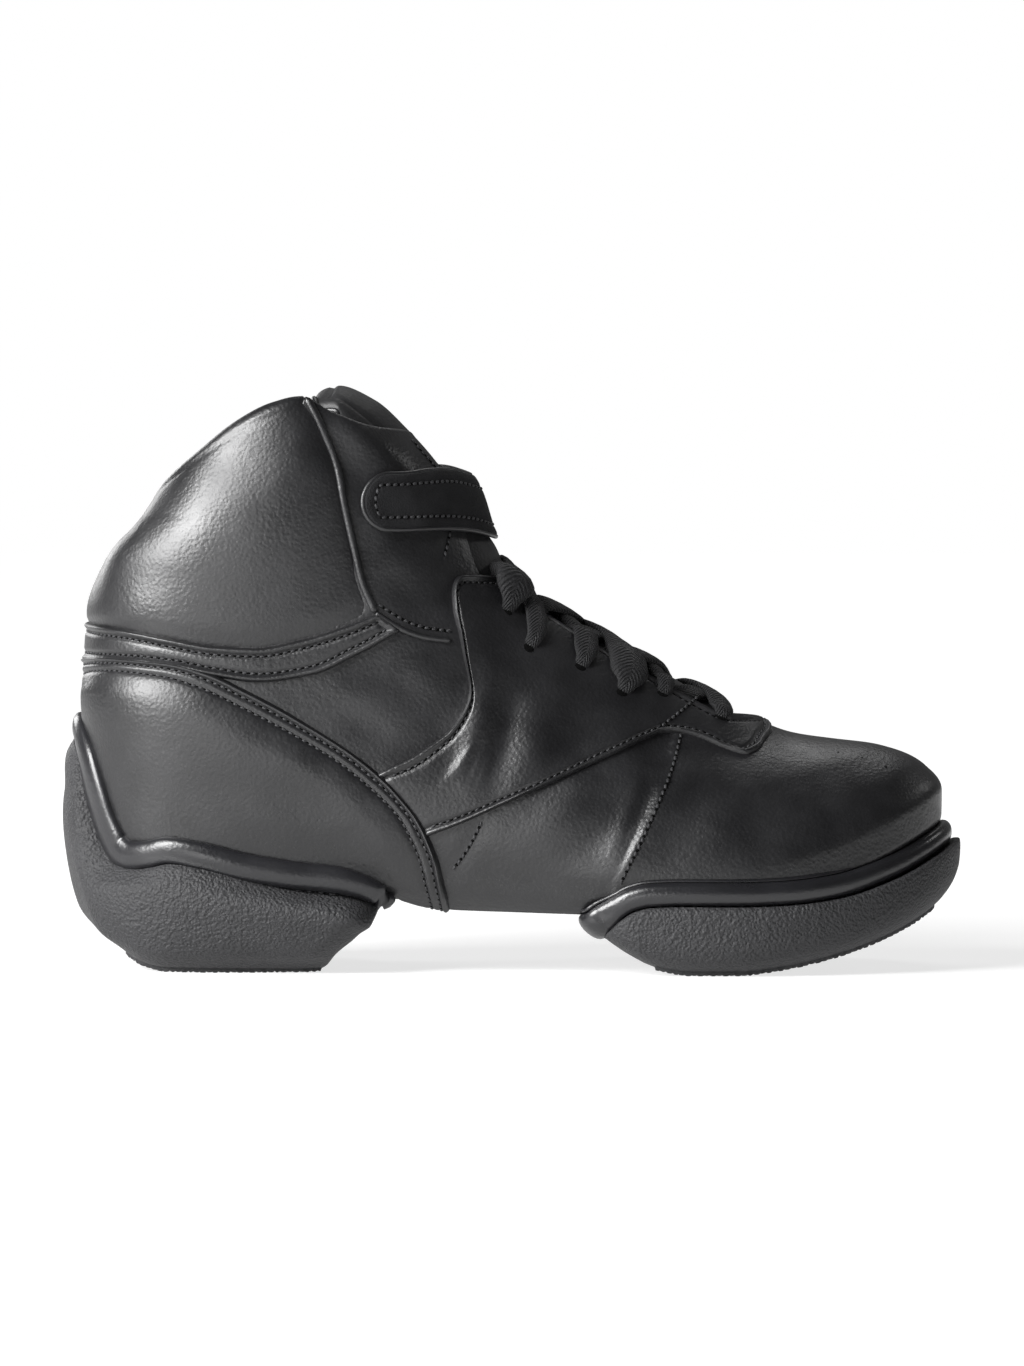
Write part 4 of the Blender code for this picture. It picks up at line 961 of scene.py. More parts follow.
# Columns: turn, height of the middle of the heel's welt bead
HEEL_BEAD = np.array([
    (0.0, 72.2), (0.11, 70.6), (0.20, 64.0), (0.255, 54.0), (0.297, 43.0), (0.35, 36.2),
    (0.42, 34.6), (0.51, 35.3), (0.59, 36.5), (0.72, 34.7), (0.85, 31.6), (0.99, 29.2),
    (1.09, 28.1), (1.16, 26.0), (1.23, 21.8)])

TREAD = 0.7           # how far the knurled pads stand out of the soles
TREAD_RING = 4        # the ring of a sole, counted from its tread edge, that the pads reach
TREAD_INSET = 0.8     # how far the pads keep inside that ring
TREAD_STEP = 0.5      # step of their grids
TREAD_DEEP = 2.2      # height of their hidden face above the underside
INSOLE = 4.5          # height of the insole's top above the foot line
INSOLE_INSET = 3.75
INSOLE_DISH = 0.7     # how far its middle is hollowed


def tongue_surfaces(along=150, across=49):
    """Top and bottom grid of the tongue and its outward vectors: arched sections along its middle line.

    The arch of a section is a circle of its cross radius, and both faces leave its middle layer by half
    the thickness times a rounded profile towards all four edges.
    """
    row = along_rows(TONGUE, along)
    middle = np.column_stack([row[:, 0], np.zeros(along), row[:, 1]])
    way = unit(np.gradient(middle, axis=0))
    normal = np.column_stack([way[:, 2], np.zeros(along), -way[:, 0]])
    v = np.sin(np.linspace(-1, 1, across) * math.pi / 2)
    y = row[:, 2:3] * v
    slope = y / row[:, 3:4]
    drop = row[:, 3:4] * (1 - np.sqrt(1 - slope ** 2))
    run = run_along(middle)
    to_top = (run[-1] - run)[:, None]
    from_top = to_top + 9.0 * np.abs(v) ** 4
    from_side = row[:, 2:3] * (1 - np.abs(v)) * 1.25
    near = np.minimum(from_side, from_top)
    outward_way = normal[:, None] * np.sqrt(1 - slope ** 2)[..., None] + slope[..., None] * (0, 1, 0)
    layer = middle[:, None] - drop[..., None] * normal[:, None]
    layer[..., 1] = y
    height, reach, bulge = TONGUE_BULGE
    bulge = bulge * bell(row[:, 1:2], height, reach) * bell(y, 0, 14)
    layer = layer + outward_way * (bulge - TONGUE_THICK / 2)[..., None]
    seam = -TONGUE_SEAM * bell(near, TONGUE_BINDING, 0.8) * blend(70, 60, to_top)
    half = TONGUE_THICK / 2 * quarter_round(near, TONGUE_ROUND)[..., None] * outward_way
    return layer + half + seam[..., None] * outward_way, layer - half, outward_way


def strap_grid(rows=34, columns=150):
    """Turn, rise, lift and the distance from the nearest edge over the strap, its round end last."""
    level = np.sin(np.linspace(-1, 1, rows) * math.pi / 2)[:, None]
    share = np.linspace(0, 1, columns)
    share = share - STRAP_CROWD * share * (1 - share) ** 2
    high = STRAP_HIGH[0] + (STRAP_HIGH[1] - STRAP_HIGH[0]) * np.clip(share / 0.5, 0, 1)
    height = (STRAP_LOW + high) / 2 + level * (high - STRAP_LOW) / 2
    half = (STRAP_HIGH[0] - STRAP_LOW) / 2
    bow = half * (1 - np.sqrt(1 - (0.985 * level) ** 2))
    start = turn_at(STRAP_END + bow, height[:, :1] - foot_line(STRAP_END))
    stop = math.tau - turn_at(STRAP_ROOT, height[:, -1:] - foot_line(STRAP_ROOT))
    turn = -(start + (stop - start) * share)[:, ::-1]
    height = height[:, ::-1]
    front = bell(np.abs(turn), math.pi, STRAP_BELLY)
    height = height - STRAP_DROP * front
    rise = height - foot_line(last_point(turn, height - 20)[..., 0])
    here = last_point(turn, rise)
    run = np.stack([run_along(line) for line in here])
    ends = np.minimum(run, run[:, -1:] - run)
    near = np.minimum(ends, half * (1 - np.abs(level)))
    return turn, rise, STRAP_LIFT + STRAP_SLACK * front, near


def lace_strands():
    """Middle line, outward vectors and shares of the width of each strand, from its hole to the other edge.

    The distance from the middle runs evenly from the hole's to past the other edge. The rise climbs to a
    little above the crest at the hole's x; in the top row it comes down again. The lift follows facing
    and tongue and dips under the other edge, and every second strand goes over the others.
    """
    crest = last_point(math.pi, np.linspace(110, 50, 200))
    strands = []
    t = np.linspace(0, 1, 64)
    for row, (x, height) in enumerate(LACE_HOLES):
        for side in (-1, 1):
            turn, low = side_curve(np.array(x), np.array(height))
            hole = abs(last_point(side * turn, low)[1])
            high = np.interp(x, crest[:, 0], crest[:, 2] - foot_line(crest[:, 0])) + LACE_CREST
            gap = min(smooth(THROAT, high)[0], LACE_GAP)
            away = hole - (hole + gap + LACE_PAST) * t
            climb = 1.15 * (1 - (1 - t) ** 2) if row else 0.8 * np.sin(0.9 * math.pi * t)
            rise = low + (high - low) * climb
            over = LACE_ON_TONGUE[(row + (side > 0)) % 2]
            on_facing = blend(gap - 4, gap + 1, away)
            lift = LACE_ON_FACING * (on_facing - blend(6 - gap, -2 - gap, away)) + over * (1 - on_facing)
            lift = lift - LACE_DIP * (1 - np.clip(t / 0.06, 0, 1)) ** 2
            if row == 0:
                lift = lift + LACE_BULGE * bell(t, 0.17, 0.12)
            own = np.where(away >= 0, side, -side)
            turn = own * throat_turn(rise, np.abs(away), own)
            wider = LACE_SPREAD[row]
            spread = 0.5 + (wider + 0.1) * blend(0.0, 0.16, t) - (wider - 0.3) * blend(0.3, 0.6, t)
            strands.append((on_last(turn, rise, lift), last_normal(turn, rise), spread))
    return strands


def unslanted(x, slant):
    """x as the outer side has it: the tail's slant fades out along the forefoot."""
    end, length = TAIL_FADE
    return x - slant * np.clip((end - x) / length, 0, 1)


def ledge_height(x):
    """Top of the forefoot sole's side: under the bead, measured square to its slope."""
    slope = (smooth(FOREFOOT_BEAD, x + 0.5) - smooth(FOREFOOT_BEAD, x - 0.5))[..., 0]
    return smooth(FOREFOOT_BEAD, x)[..., 0] - (BEAD_UP + BEAD_GAP) * np.sqrt(1 + slope ** 2)


def forefoot_ring(margin, back, rise, height, corner=CORNER, count=110):
    """Ring round the forefoot: rise and height are worked out from x."""
    spread = (1 - np.cos(np.linspace(0, math.pi, count))) / 2
    dense = np.linspace(0.9, math.pi, 900)
    pair = []
    for side, slant in enumerate((0, TAIL_SLANT)):
        rises = rise(unslanted(last_point(dense, WALL_RISE)[:, 0], slant))
        flat = outline(dense, rises, np.full_like(dense, margin))[side]
        start = back + slant
        x = start + (flat[-1, 0] - 0.04 - start) * spread
        y = np.interp(x, flat[:, 0], flat[:, 1])
        y -= np.sign(y) * rounded(x - start, corner)
        pair.append(np.column_stack([x, y, height(x, unslanted(x, slant))]))
    return pair


def forefoot_rings():
    """Rings of the forefoot sole from its tread edge up the side, over the ledge and into the seat."""
    def side_height(share):
        return lambda _, level: ((1 - share) * (smooth(FOREFOOT_UNDER, level)[:, 0] + TREAD)
                                 + share * ledge_height(level))

    def ledge_rise(share):
        return lambda x: share * np.clip(ledge_height(x) - foot_line(x), 0, None)

    def seat_height(share):
        return lambda x, level: share * ledge_height(level) + (1 - share) * (foot_line(x) - BEAD_GAP)

    rings = [forefoot_ring(margin, back, lambda x: np.full_like(x, WALL_RISE), side_height(share))
             for share, margin, back in along_rows(FOREFOOT_WALL, 34)]
    rings += [forefoot_ring(SEAT_MARGIN, back, ledge_rise(share), seat_height(share))
              for share, back in FOREFOOT_SEAT]
    return rings


def heel_edge(turn):
    """Height of the heel sole's top edge."""
    return smooth(HEEL_EDGE, turn)[:, 0]


def heel_ring(margins, breast, rise, height):
    """Ring of the heel sole, from the back of the heel to its breast, which a few steps home in on."""
    early = np.interp(np.linspace(0, len(HEEL_TURNS) - 1, 84), np.arange(len(HEEL_TURNS)), HEEL_TURNS)
    late = 1 - (1 - np.linspace(0, 1, 47)[1:]) ** 2
    pair = []
    for side in (0, 1):
        end = 1.2
        for _ in range(6):
            turn = np.concatenate([early, early[-1] + late * (end - early[-1])])
            margin = margins[1] + (margins[0] - margins[1]) * np.exp(-(turn / HEEL_BACK) ** 2)
            level = rise(turn, last_point(turn, WALL_RISE)[:, 0])
            x, y = outline(turn, level, margin)[side].T
            end += (breast - x[-1]) * (turn[-1] - turn[-9]) / (x[-1] - x[-9])
        y = y - np.sign(y) * rounded(x[-1] - x, CORNER)
        pair.append(np.column_stack([x, y, height(turn, x)]))
    return pair


def heel_rings():
    """Rings of the heel sole from its tread edge up the side, over the ledge and into the seat."""
    rings = []
    for share, level, climb, back, side, breast in along_rows(HEEL_WALL, 44):
        rings.append(heel_ring(
            (back, side), breast,
            lambda turn, x: level * (1 - climb) + climb * np.clip(heel_edge(turn) - foot_line(x), 0, None),
            lambda turn, x: (1 - share) * (smooth(HEEL_ROLL, x)[:, 0] + TREAD) + share * heel_edge(turn)))
    for share in HEEL_SEAT:
        rings.append(heel_ring(
            (SEAT_MARGIN, SEAT_MARGIN), HEEL_BREAST - 4 + 2 * share,
            lambda turn, x: share * np.clip(heel_edge(turn) - foot_line(x), 0, None),
            lambda turn, x: share * heel_edge(turn) + (1 - share) * (foot_line(x) - 0.6)))
    return rings


def stacked(rings, bridge=14):
    """Points and faces of a solid between rings of outer and inner side points, capped by strips across.

    The ends of both sides are joined by bridge straight columns, so that the flat end has even faces.
    """
    share = np.linspace(0, 1, bridge + 2)[1:-1, None]

    def ring(outer, inner):
        front = outer[-1] + (inner[-1] - outer[-1]) * share
        back = inner[0] + (outer[0] - inner[0]) * share
        return np.concatenate([outer, front, inner[::-1], back])

    points = np.stack([ring(*pair) for pair in rings])
    rows, size = points.shape[:2]
    count = len(rings[0][0])
    faces = grid_faces(rows, size, False, True).tolist()
    across = np.arange(count - 1)
    for base in (0, (rows - 1) * size):
        outer, inner = base + across, base + 2 * count + bridge - 1 - across
        faces += np.column_stack([outer, outer + 1, inner - 1, inner]).tolist()
        first = [base + i for i in range(count - 1, count + bridge + 1)]
        last = [base + i % size for i in range(2 * count + bridge - 1, size + 1)]
        faces += [first, last]
    return points.reshape(-1, 3), faces


def heel_bead_path(count=280):
    """Middle of the heel's welt bead, its outward vectors and half heights."""
    turn = np.linspace(-BEAD_END, BEAD_END, count)
    height = smooth(HEEL_BEAD, np.abs(turn))[:, 0]
    rise = height - foot_line(last_point(turn, height - 25)[:, 0])
    facing = unit(last_normal(turn, rise) * (1, 1, 0))
    path = last_point(turn, rise + BEAD_UP / 2) + (BEAD_GAP + BEAD_OUT) * facing
    path[:, 2] = height
    broader = 1.8 * bell(np.abs(turn), 0.27, 0.1)
    return path, facing, BEAD_BROAD[0] + broader - 0.8 * blend(1.08, 1.24, np.abs(turn))


def forefoot_bead_path():
    """Middle of the forefoot's welt bead, a closed loop, its outward vectors and half heights.

    Where the loop runs low round the tail, the bead is broader and turned down towards the floor.
    """
    def bead_rise(x):
        return np.clip(smooth(FOREFOOT_BEAD, x)[:, 0] - foot_line(x) + BEAD_UP / 2, BEAD_UP / 2, None)

    outer, inner = forefoot_ring(BEAD_GAP + BEAD_OUT, BEAD_TAIL, bead_rise,
                                 lambda x, level: smooth(FOREFOOT_BEAD, level)[:, 0], BEAD_CORNER, 150)
    path = np.concatenate([outer, inner[::-1], np.linspace(inner[0], outer[0], 32)[1:-1]])
    step = np.roll(path, -1, axis=0) - np.roll(path, 1, axis=0)
    low = blend(21.5, 14.8, path[:, 2])
    facing = unit(np.column_stack([step[:, 1], -step[:, 0], np.zeros(len(path))]))
    return path, facing - (0, 0, BEAD_TILT) * low[:, None], BEAD_UP + (BEAD_BROAD[1] - BEAD_UP) * low


def tread_pad(edge, under, pitch):
    """Bottom and top grid of a knurled pad inside a sole's edge: diagonal ribs cut into small diamonds.

    Columns run across at each x, from the outer to the inner edge less the inset. The tips lie on the
    sole's underside.
    """
    outer, inner = edge
    x = np.arange(max(outer[:, 0].min(), inner[:, 0].min()) + TREAD_INSET,
                  min(outer[:, 0].max(), inner[:, 0].max()) - TREAD_INSET, TREAD_STEP)
    order = [np.argsort(side[:, 0]) for side in edge]
    y = [np.interp(x, side[o, 0], side[o, 1]) for side, o in zip(edge, order)]
    low, high = y[0] + TREAD_INSET, y[1] - TREAD_INSET
    count = int((high - low).max() / TREAD_STEP)
    share = np.linspace(0, 1, count)
    grid_x = np.broadcast_to(x[:, None], (len(x), count))
    grid_y = low[:, None] + (high - low)[:, None] * share
    first, second = ((grid_x + k * grid_y) / (pitch * math.sqrt(2)) for k in (1, -1))
    groove = np.minimum(*(np.abs(c - np.floor(c) - 0.5) * 2 for c in (first, second)))
    height = smooth(under, grid_x)[..., 0]
    depth = (TREAD - 0.05) * (1 - blend(0.15, 0.6, groove))
    return [np.stack([grid_x, grid_y, height + up], axis=-1) for up in (depth, TREAD_DEEP)]


class DanceShoeSizes(bpy.types.PropertyGroup):
    """Sizes of the dressed shoe, in millimetres."""

    leather: FloatProperty(name="Leather", description="Thickness of counter, band and facing",
                           default=1.5, min=0.5)
    crown: FloatProperty(name="Collar crown", description="How far the collar pad swells", default=2.0, min=0)
    pitch: FloatProperty(name="Stitch pitch", description="Distance between stitches", default=2.3, min=1)
    stitch: FloatProperty(name="Stitch length", description="Length of one stitch", default=1.7, min=0.5)
    thread: FloatProperty(name="Thread", description="Width of the thread", default=1.0, min=0.2)
    piping: FloatProperty(name="Piping", description="Half width of the collar's front piping",
                          default=1.15, min=0.3)
    lace: FloatProperty(name="Lace", description="Half width of the flat lace", default=4.1, min=1)
    knurl: FloatProperty(name="Tread pitch", description="Distance between tread ribs", default=2.6, min=1)


class DanceShoeColours(bpy.types.PropertyGroup):
    """Colours of the shoe's finishes."""

    leather: FloatVectorProperty(name="Leather", description="Black satin leather", subtype="COLOR",
                                 default=(0.0105, 0.0105, 0.0115), min=0, max=1)
    lining: FloatVectorProperty(name="Lining", description="Knitted lining and insole", subtype="COLOR",
                                default=(0.012, 0.012, 0.013), min=0, max=1)
    rubber: FloatVectorProperty(name="Sole rubber", description="Grained rubber of both soles", subtype="COLOR",
                                default=(0.036, 0.036, 0.038), min=0, max=1)
    bead: FloatVectorProperty(name="Welt bead", description="Smooth rubber of the welts", subtype="COLOR",
                              default=(0.014, 0.014, 0.016), min=0, max=1)
    strap: FloatVectorProperty(name="Strap", description="Napped ankle strap", subtype="COLOR",
                               default=(0.016, 0.016, 0.017), min=0, max=1)
    lace: FloatVectorProperty(name="Lace", description="Plaited lace", subtype="COLOR",
                              default=(0.010, 0.010, 0.011), min=0, max=1)
    thread: FloatVectorProperty(name="Thread", description="Sewing thread", subtype="COLOR",
                                default=(0.024, 0.024, 0.026), min=0, max=1)
    # Near black laid into the needle, pin and lace holes: painted shade where shadow falls inside them.
    hole: FloatVectorProperty(name="Needle holes", description="Shadow in the needle holes", subtype="COLOR",
                              default=(0.002, 0.002, 0.002), min=0, max=1)


FINISHES = {}


def finish(kind):
    """Finish of one kind in the chosen colour, made once."""
    colours = bpy.context.scene.dance_shoe_colours
    makers = {
        "leather": lambda: leather_finish("black_leather", tuple(colours.leather)),
        "soft": lambda: leather_finish("soft_leather", tuple(colours.leather), (0.52, 0.64)),
        "lining": lambda: weave_finish("knitted_lining", tuple(colours.lining)),
        "rubber": lambda: rubber_finish("grained_rubber", tuple(colours.rubber)),
        "bead": lambda: rubber_finish("smooth_welt", tuple(colours.bead), (0.26, 0.36), 0.12, 0.2, 0.65),
        "tread": lambda: rubber_finish("tread_rubber", tuple(colours.rubber), (0.6, 0.72), 0.5),
        "strap": lambda: nap_finish("napped_strap", tuple(colours.strap)),
        "lace": lambda: braid_finish("plaited_lace", tuple(colours.lace), 2.2, 0.00018),
        "thread": lambda: nap_finish("sewing_thread", tuple(colours.thread), 0.55, 0.4),
        # The hole finish is painted shade: a near-black cloth on the flat spindles in the holes.
        "hole": lambda: nap_finish("needle_hole_painted_shade", tuple(colours.hole), 0.9, 0.05),
    }
    if kind not in FINISHES:
        FINISHES[kind] = makers[kind]()
    return FINISHES[kind]


class DANCESHOE_OT_upper(bpy.types.Operator):
    """Upper with its lining, arch and rim"""

    bl_idname = "dance_shoe.upper"
    bl_label = "Upper"

    def execute(self, context):
        points, lining = upper_shell()
        rows, columns = points.shape[:2]
        part = np.repeat((np.arange(rows) >= lining).astype(int), columns)
        new_piece("upper_leather", points, grid_faces(rows, columns, True, True),
                  [finish("leather"), finish("lining")], "leather", ["upper"],
                  face_finish=part, crease=SOFT)
        return {"FINISHED"}


class DANCESHOE_OT_collar(bpy.types.Operator):
    """Padded collar from the ankle band over the rim to the inside"""

    bl_idname = "dance_shoe.collar"
    bl_label = "Collar pad"

    def execute(self, context):
        points = collar_pad(context.scene.dance_shoe_sizes.crown)
        rows, columns = points.shape[:2]
        faces = grid_faces(rows, columns, True, False).tolist()
        ends = np.arange(rows) * columns
        faces += [ends.tolist(), (ends + columns - 1)[::-1].tolist()]
        inner = np.repeat((np.arange(rows) > PAD_LINED).astype(int), columns - 1)
        piece = new_piece("collar_pad", points, faces, [finish("leather"), finish("lining")], "leather",
                          face_finish=np.concatenate([inner, [0, 0]]), crease=SOFT)
        return {"FINISHED"}


class DANCESHOE_OT_overlays(bpy.types.Operator):
    """Counter, ankle band and facing"""

    bl_idname = "dance_shoe.overlays"
    bl_label = "Leather overlays"

    def execute(self, context):
        leather = context.scene.dance_shoe_sizes.leather
        leather_panel("ankle_band_leather", band_edges(), 2, leather, (EDGE_ROW,), ["ankle_band"])
        leather_panel("facing_leather", facing_edges(), 24, leather, (EDGE_ROW,), ["facing"], tucked=True)
        leather_panel("counter_leather", counter_edges(), 22, leather + COUNTER_EXTRA, COUNTER_ROWS,
                      ["counter"], swell=COUNTER_SWELL)
        return {"FINISHED"}


class DANCESHOE_OT_tongue(bpy.types.Operator):
    """Padded tongue with a bound top"""

    bl_idname = "dance_shoe.tongue"
    bl_label = "Tongue"

    def execute(self, context):
        top, bottom, _ = tongue_surfaces()
        points, faces = slab(top, bottom)
        part = np.zeros(len(faces), int)
        size = (top.shape[0] - 1) * (top.shape[1] - 1)
        part[size:2 * size] = 1
        piece = new_piece("tongue_padded", points, faces, [finish("soft"), finish("lining")], "leather",
                          ["tongue"], face_finish=part, crease=SOFT)
        return {"FINISHED"}


class DANCESHOE_OT_strap(bpy.types.Operator):
    """Ankle strap with a stitched border"""

    bl_idname = "dance_shoe.strap"
    bl_label = "Ankle strap"

    def execute(self, context):
        turn, rise, lift, near = strap_grid()
        edge = quarter_round(near, STRAP_ROUND)
        channel = STRAP_CHANNEL * bell(near, STRAP_BORDER, 0.5)
        half = STRAP_THICK / 2
        top = on_last(turn, rise, lift + half + half * edge - channel, False)
        bottom = on_last(turn, rise, lift + half - half * edge, False)
        new_piece("ankle_strap_napped", *slab(top, bottom), [finish("strap")], "strap_suede",
                  ["ankle_strap"], crease=SOFT)
        return {"FINISHED"}


class DANCESHOE_OT_lace(bpy.types.Operator):
    """Flat plaited lace through the facing's holes"""

    bl_idname = "dance_shoe.lace"
    bl_label = "Lace"

    def execute(self, context):
        wide = context.scene.dance_shoe_sizes.lace
        around = 14
        parts, uv = [], []
        for path, normal, spread in lace_strands():
            thick = LACE_THICK / 2 * np.maximum(spread, 1) ** 1.6
            parts.append(tube(path, normal, wide * spread, thick, around, power=0.85, taper=2))
            along = run_along(path)[:, None] / LACE_U
            across = 0.5 + 0.5 * np.cos(np.arange(around) * math.tau / around)
            uv.append(np.stack(np.broadcast_arrays(along, across), axis=-1).reshape(-1, 2))
        new_piece("lace_plaited", *joined(parts), [finish("lace")], "lace_braid", ["lace"],
                  uv=np.concatenate(uv))
        return {"FINISHED"}


class DANCESHOE_OT_soles(bpy.types.Operator):
    """Heel and forefoot soles with knurled treads"""

    bl_idname = "dance_shoe.soles"
    bl_label = "Soles"

    def execute(self, context):
        pitch = context.scene.dance_shoe_sizes.knurl
        for name, rings, node_name, under in (
                ("heel_rubber", heel_rings(), "outsole_heel", HEEL_ROLL),
                ("forefoot_rubber", forefoot_rings(), "outsole_forefoot", FOREFOOT_UNDER)):
            new_piece(name, *stacked(rings), [finish("rubber")], "grained_rubber", [node_name], crease=40)
            pad = slab(*tread_pad(rings[TREAD_RING], under, pitch))
            new_piece(name.replace("rubber", "tread"), *pad, [finish("tread")], "grained_rubber",
                      crease=SOFT)
        return {"FINISHED"}


class DANCESHOE_OT_welts(bpy.types.Operator):
    """Smooth welt beads with their thin lips"""

    bl_idname = "dance_shoe.welts"
    bl_label = "Welts"

    def execute(self, context):
        for name, (path, facing, half), closed, node_name in (
                ("heel_bead", heel_bead_path(), False, "welt_heel"),
                ("forefoot_bead", forefoot_bead_path(), True, "welt_forefoot")):
            _, sideways, out = path_frames(path, facing, closed)
            up = sideways * np.where(sideways[:, 2:3] < 0, -1, 1)
            parts = [tube(path, facing, half, BEAD_OUT, 24, closed, 0.92, taper=0 if closed else 3)]
            lip = path + up * (half[:, None] + 0.35) - out * (BEAD_OUT * 0.6)
            parts.append(tube(lip, facing, 0.6, 0.6, 8, closed, taper=0 if closed else 4))
            new_piece(name, *joined(parts), [finish("bead")], "glossy_rubber", [node_name], crease=SOFT)
        return {"FINISHED"}


class DANCESHOE_OT_insole(bpy.types.Operator):
    """Covered insole"""

    bl_idname = "dance_shoe.insole"
    bl_label = "Insole"

    def execute(self, context):
        turn = np.linspace(0.02, math.pi - 0.02, 160)
        outer, inner = outline(turn, 2.0, np.full_like(turn, -INSOLE_INSET))
        share = np.sin(np.linspace(-0.5, 0.5, 41) * math.pi)[:, None, None] * 0.5 + 0.5
        flat = outer + (inner - outer) * share
        across = 2 * share[..., 0] - 1
        edge = np.sqrt(np.clip(1 - np.abs(across) ** 8, 0, 1))
        floor = foot_line(flat[..., 0])
        top, bottom = (np.concatenate([flat, height[..., None]], axis=-1) for height in (
            floor + INSOLE - 1 + edge - INSOLE_DISH * (1 - across ** 2), floor + WALL + 0.6))
        new_piece("insole_cover", *slab(top, bottom), [finish("lining")], "lining", ["insole"])
        return {"FINISHED"}


# Seams in the side view. Columns: x, height
ANKLE_SEAM = ((-40.6, 106.6), (-36.0, 103.6), (-32.0, 101.4), (-26.0, 99.4), (-18.6, 98.4))
SMALL_SEAM = ((-9.0, 45.6), (-12.6, 38.4), (-15.4, 34.0), (-18.0, 30.8))
TIP_SEAM = ((43.5, 72.0), (48.5, 75.6), (54.5, 80.0))
PIN_HOLES = ((97.0, 64.2), (104.0, 62.6), (111.0, 60.0))
# Lines of the underside. Columns: x, y
ARCH_PIPING = np.array([(-44.0, 0.6), (-10.0, 0.6), (34.0, 0.6)])
ARCH_SEAMS = (
    np.array([(-16.0, 3.3), (8.0, 3.3), (34.0, 3.3)]),
    np.array([(-16.0, -2.1), (8.0, -2.1), (34.0, -2.1)]),
    np.array([(9.0, -1.6), (13.0, -9.0), (19.0, -19.0), (25.0, -27.0)]),
    np.array([(9.0, 2.8), (13.0, 9.0), (20.0, 18.0), (28.0, 25.0)]))
WELT_PITCH = 3.4      # distance between the dashes in the grooves under the beads
WELT_DASH = (2.0, 0.7, 0.7)
# Sizes of the flat spindles that carry painted shade in the pin and lace holes, and the rings of the lace
# holes' ones
PIN_HOLE = (1.0, 1.0, 0.3)
LACE_HOLE = (3.8, 3.0, 0.7)
LACE_HOLE_RINGS = (-0.85, -0.5, 0, 0.5, 0.85)
PAD_PIPING = (0.55, 0.95)  # lift and half height of the piping in front of the collar pad
ANKLE_PIPING = (0.5, 0.9, 0.8)  # lift, half width and half height of the one above the ankle seam
TONGUE_PIPING = (0.9, 1.1)  # half width and half height of the others
STRAP_PIPING = (0.8, 0.75)
UNDER_PIPING = (1.1, 0.9)
THREAD_LIFT = 0.12    # lift of a thread on plain leather
THROAT_ROW = 3.4      # from the throat's edge to the stitches beside it
THROAT_SEWN = (104, 137)  # rise at the ends of that row
ARCH_SUNK = 0.15      # how far the middle of the arch's seams lies below the foot line


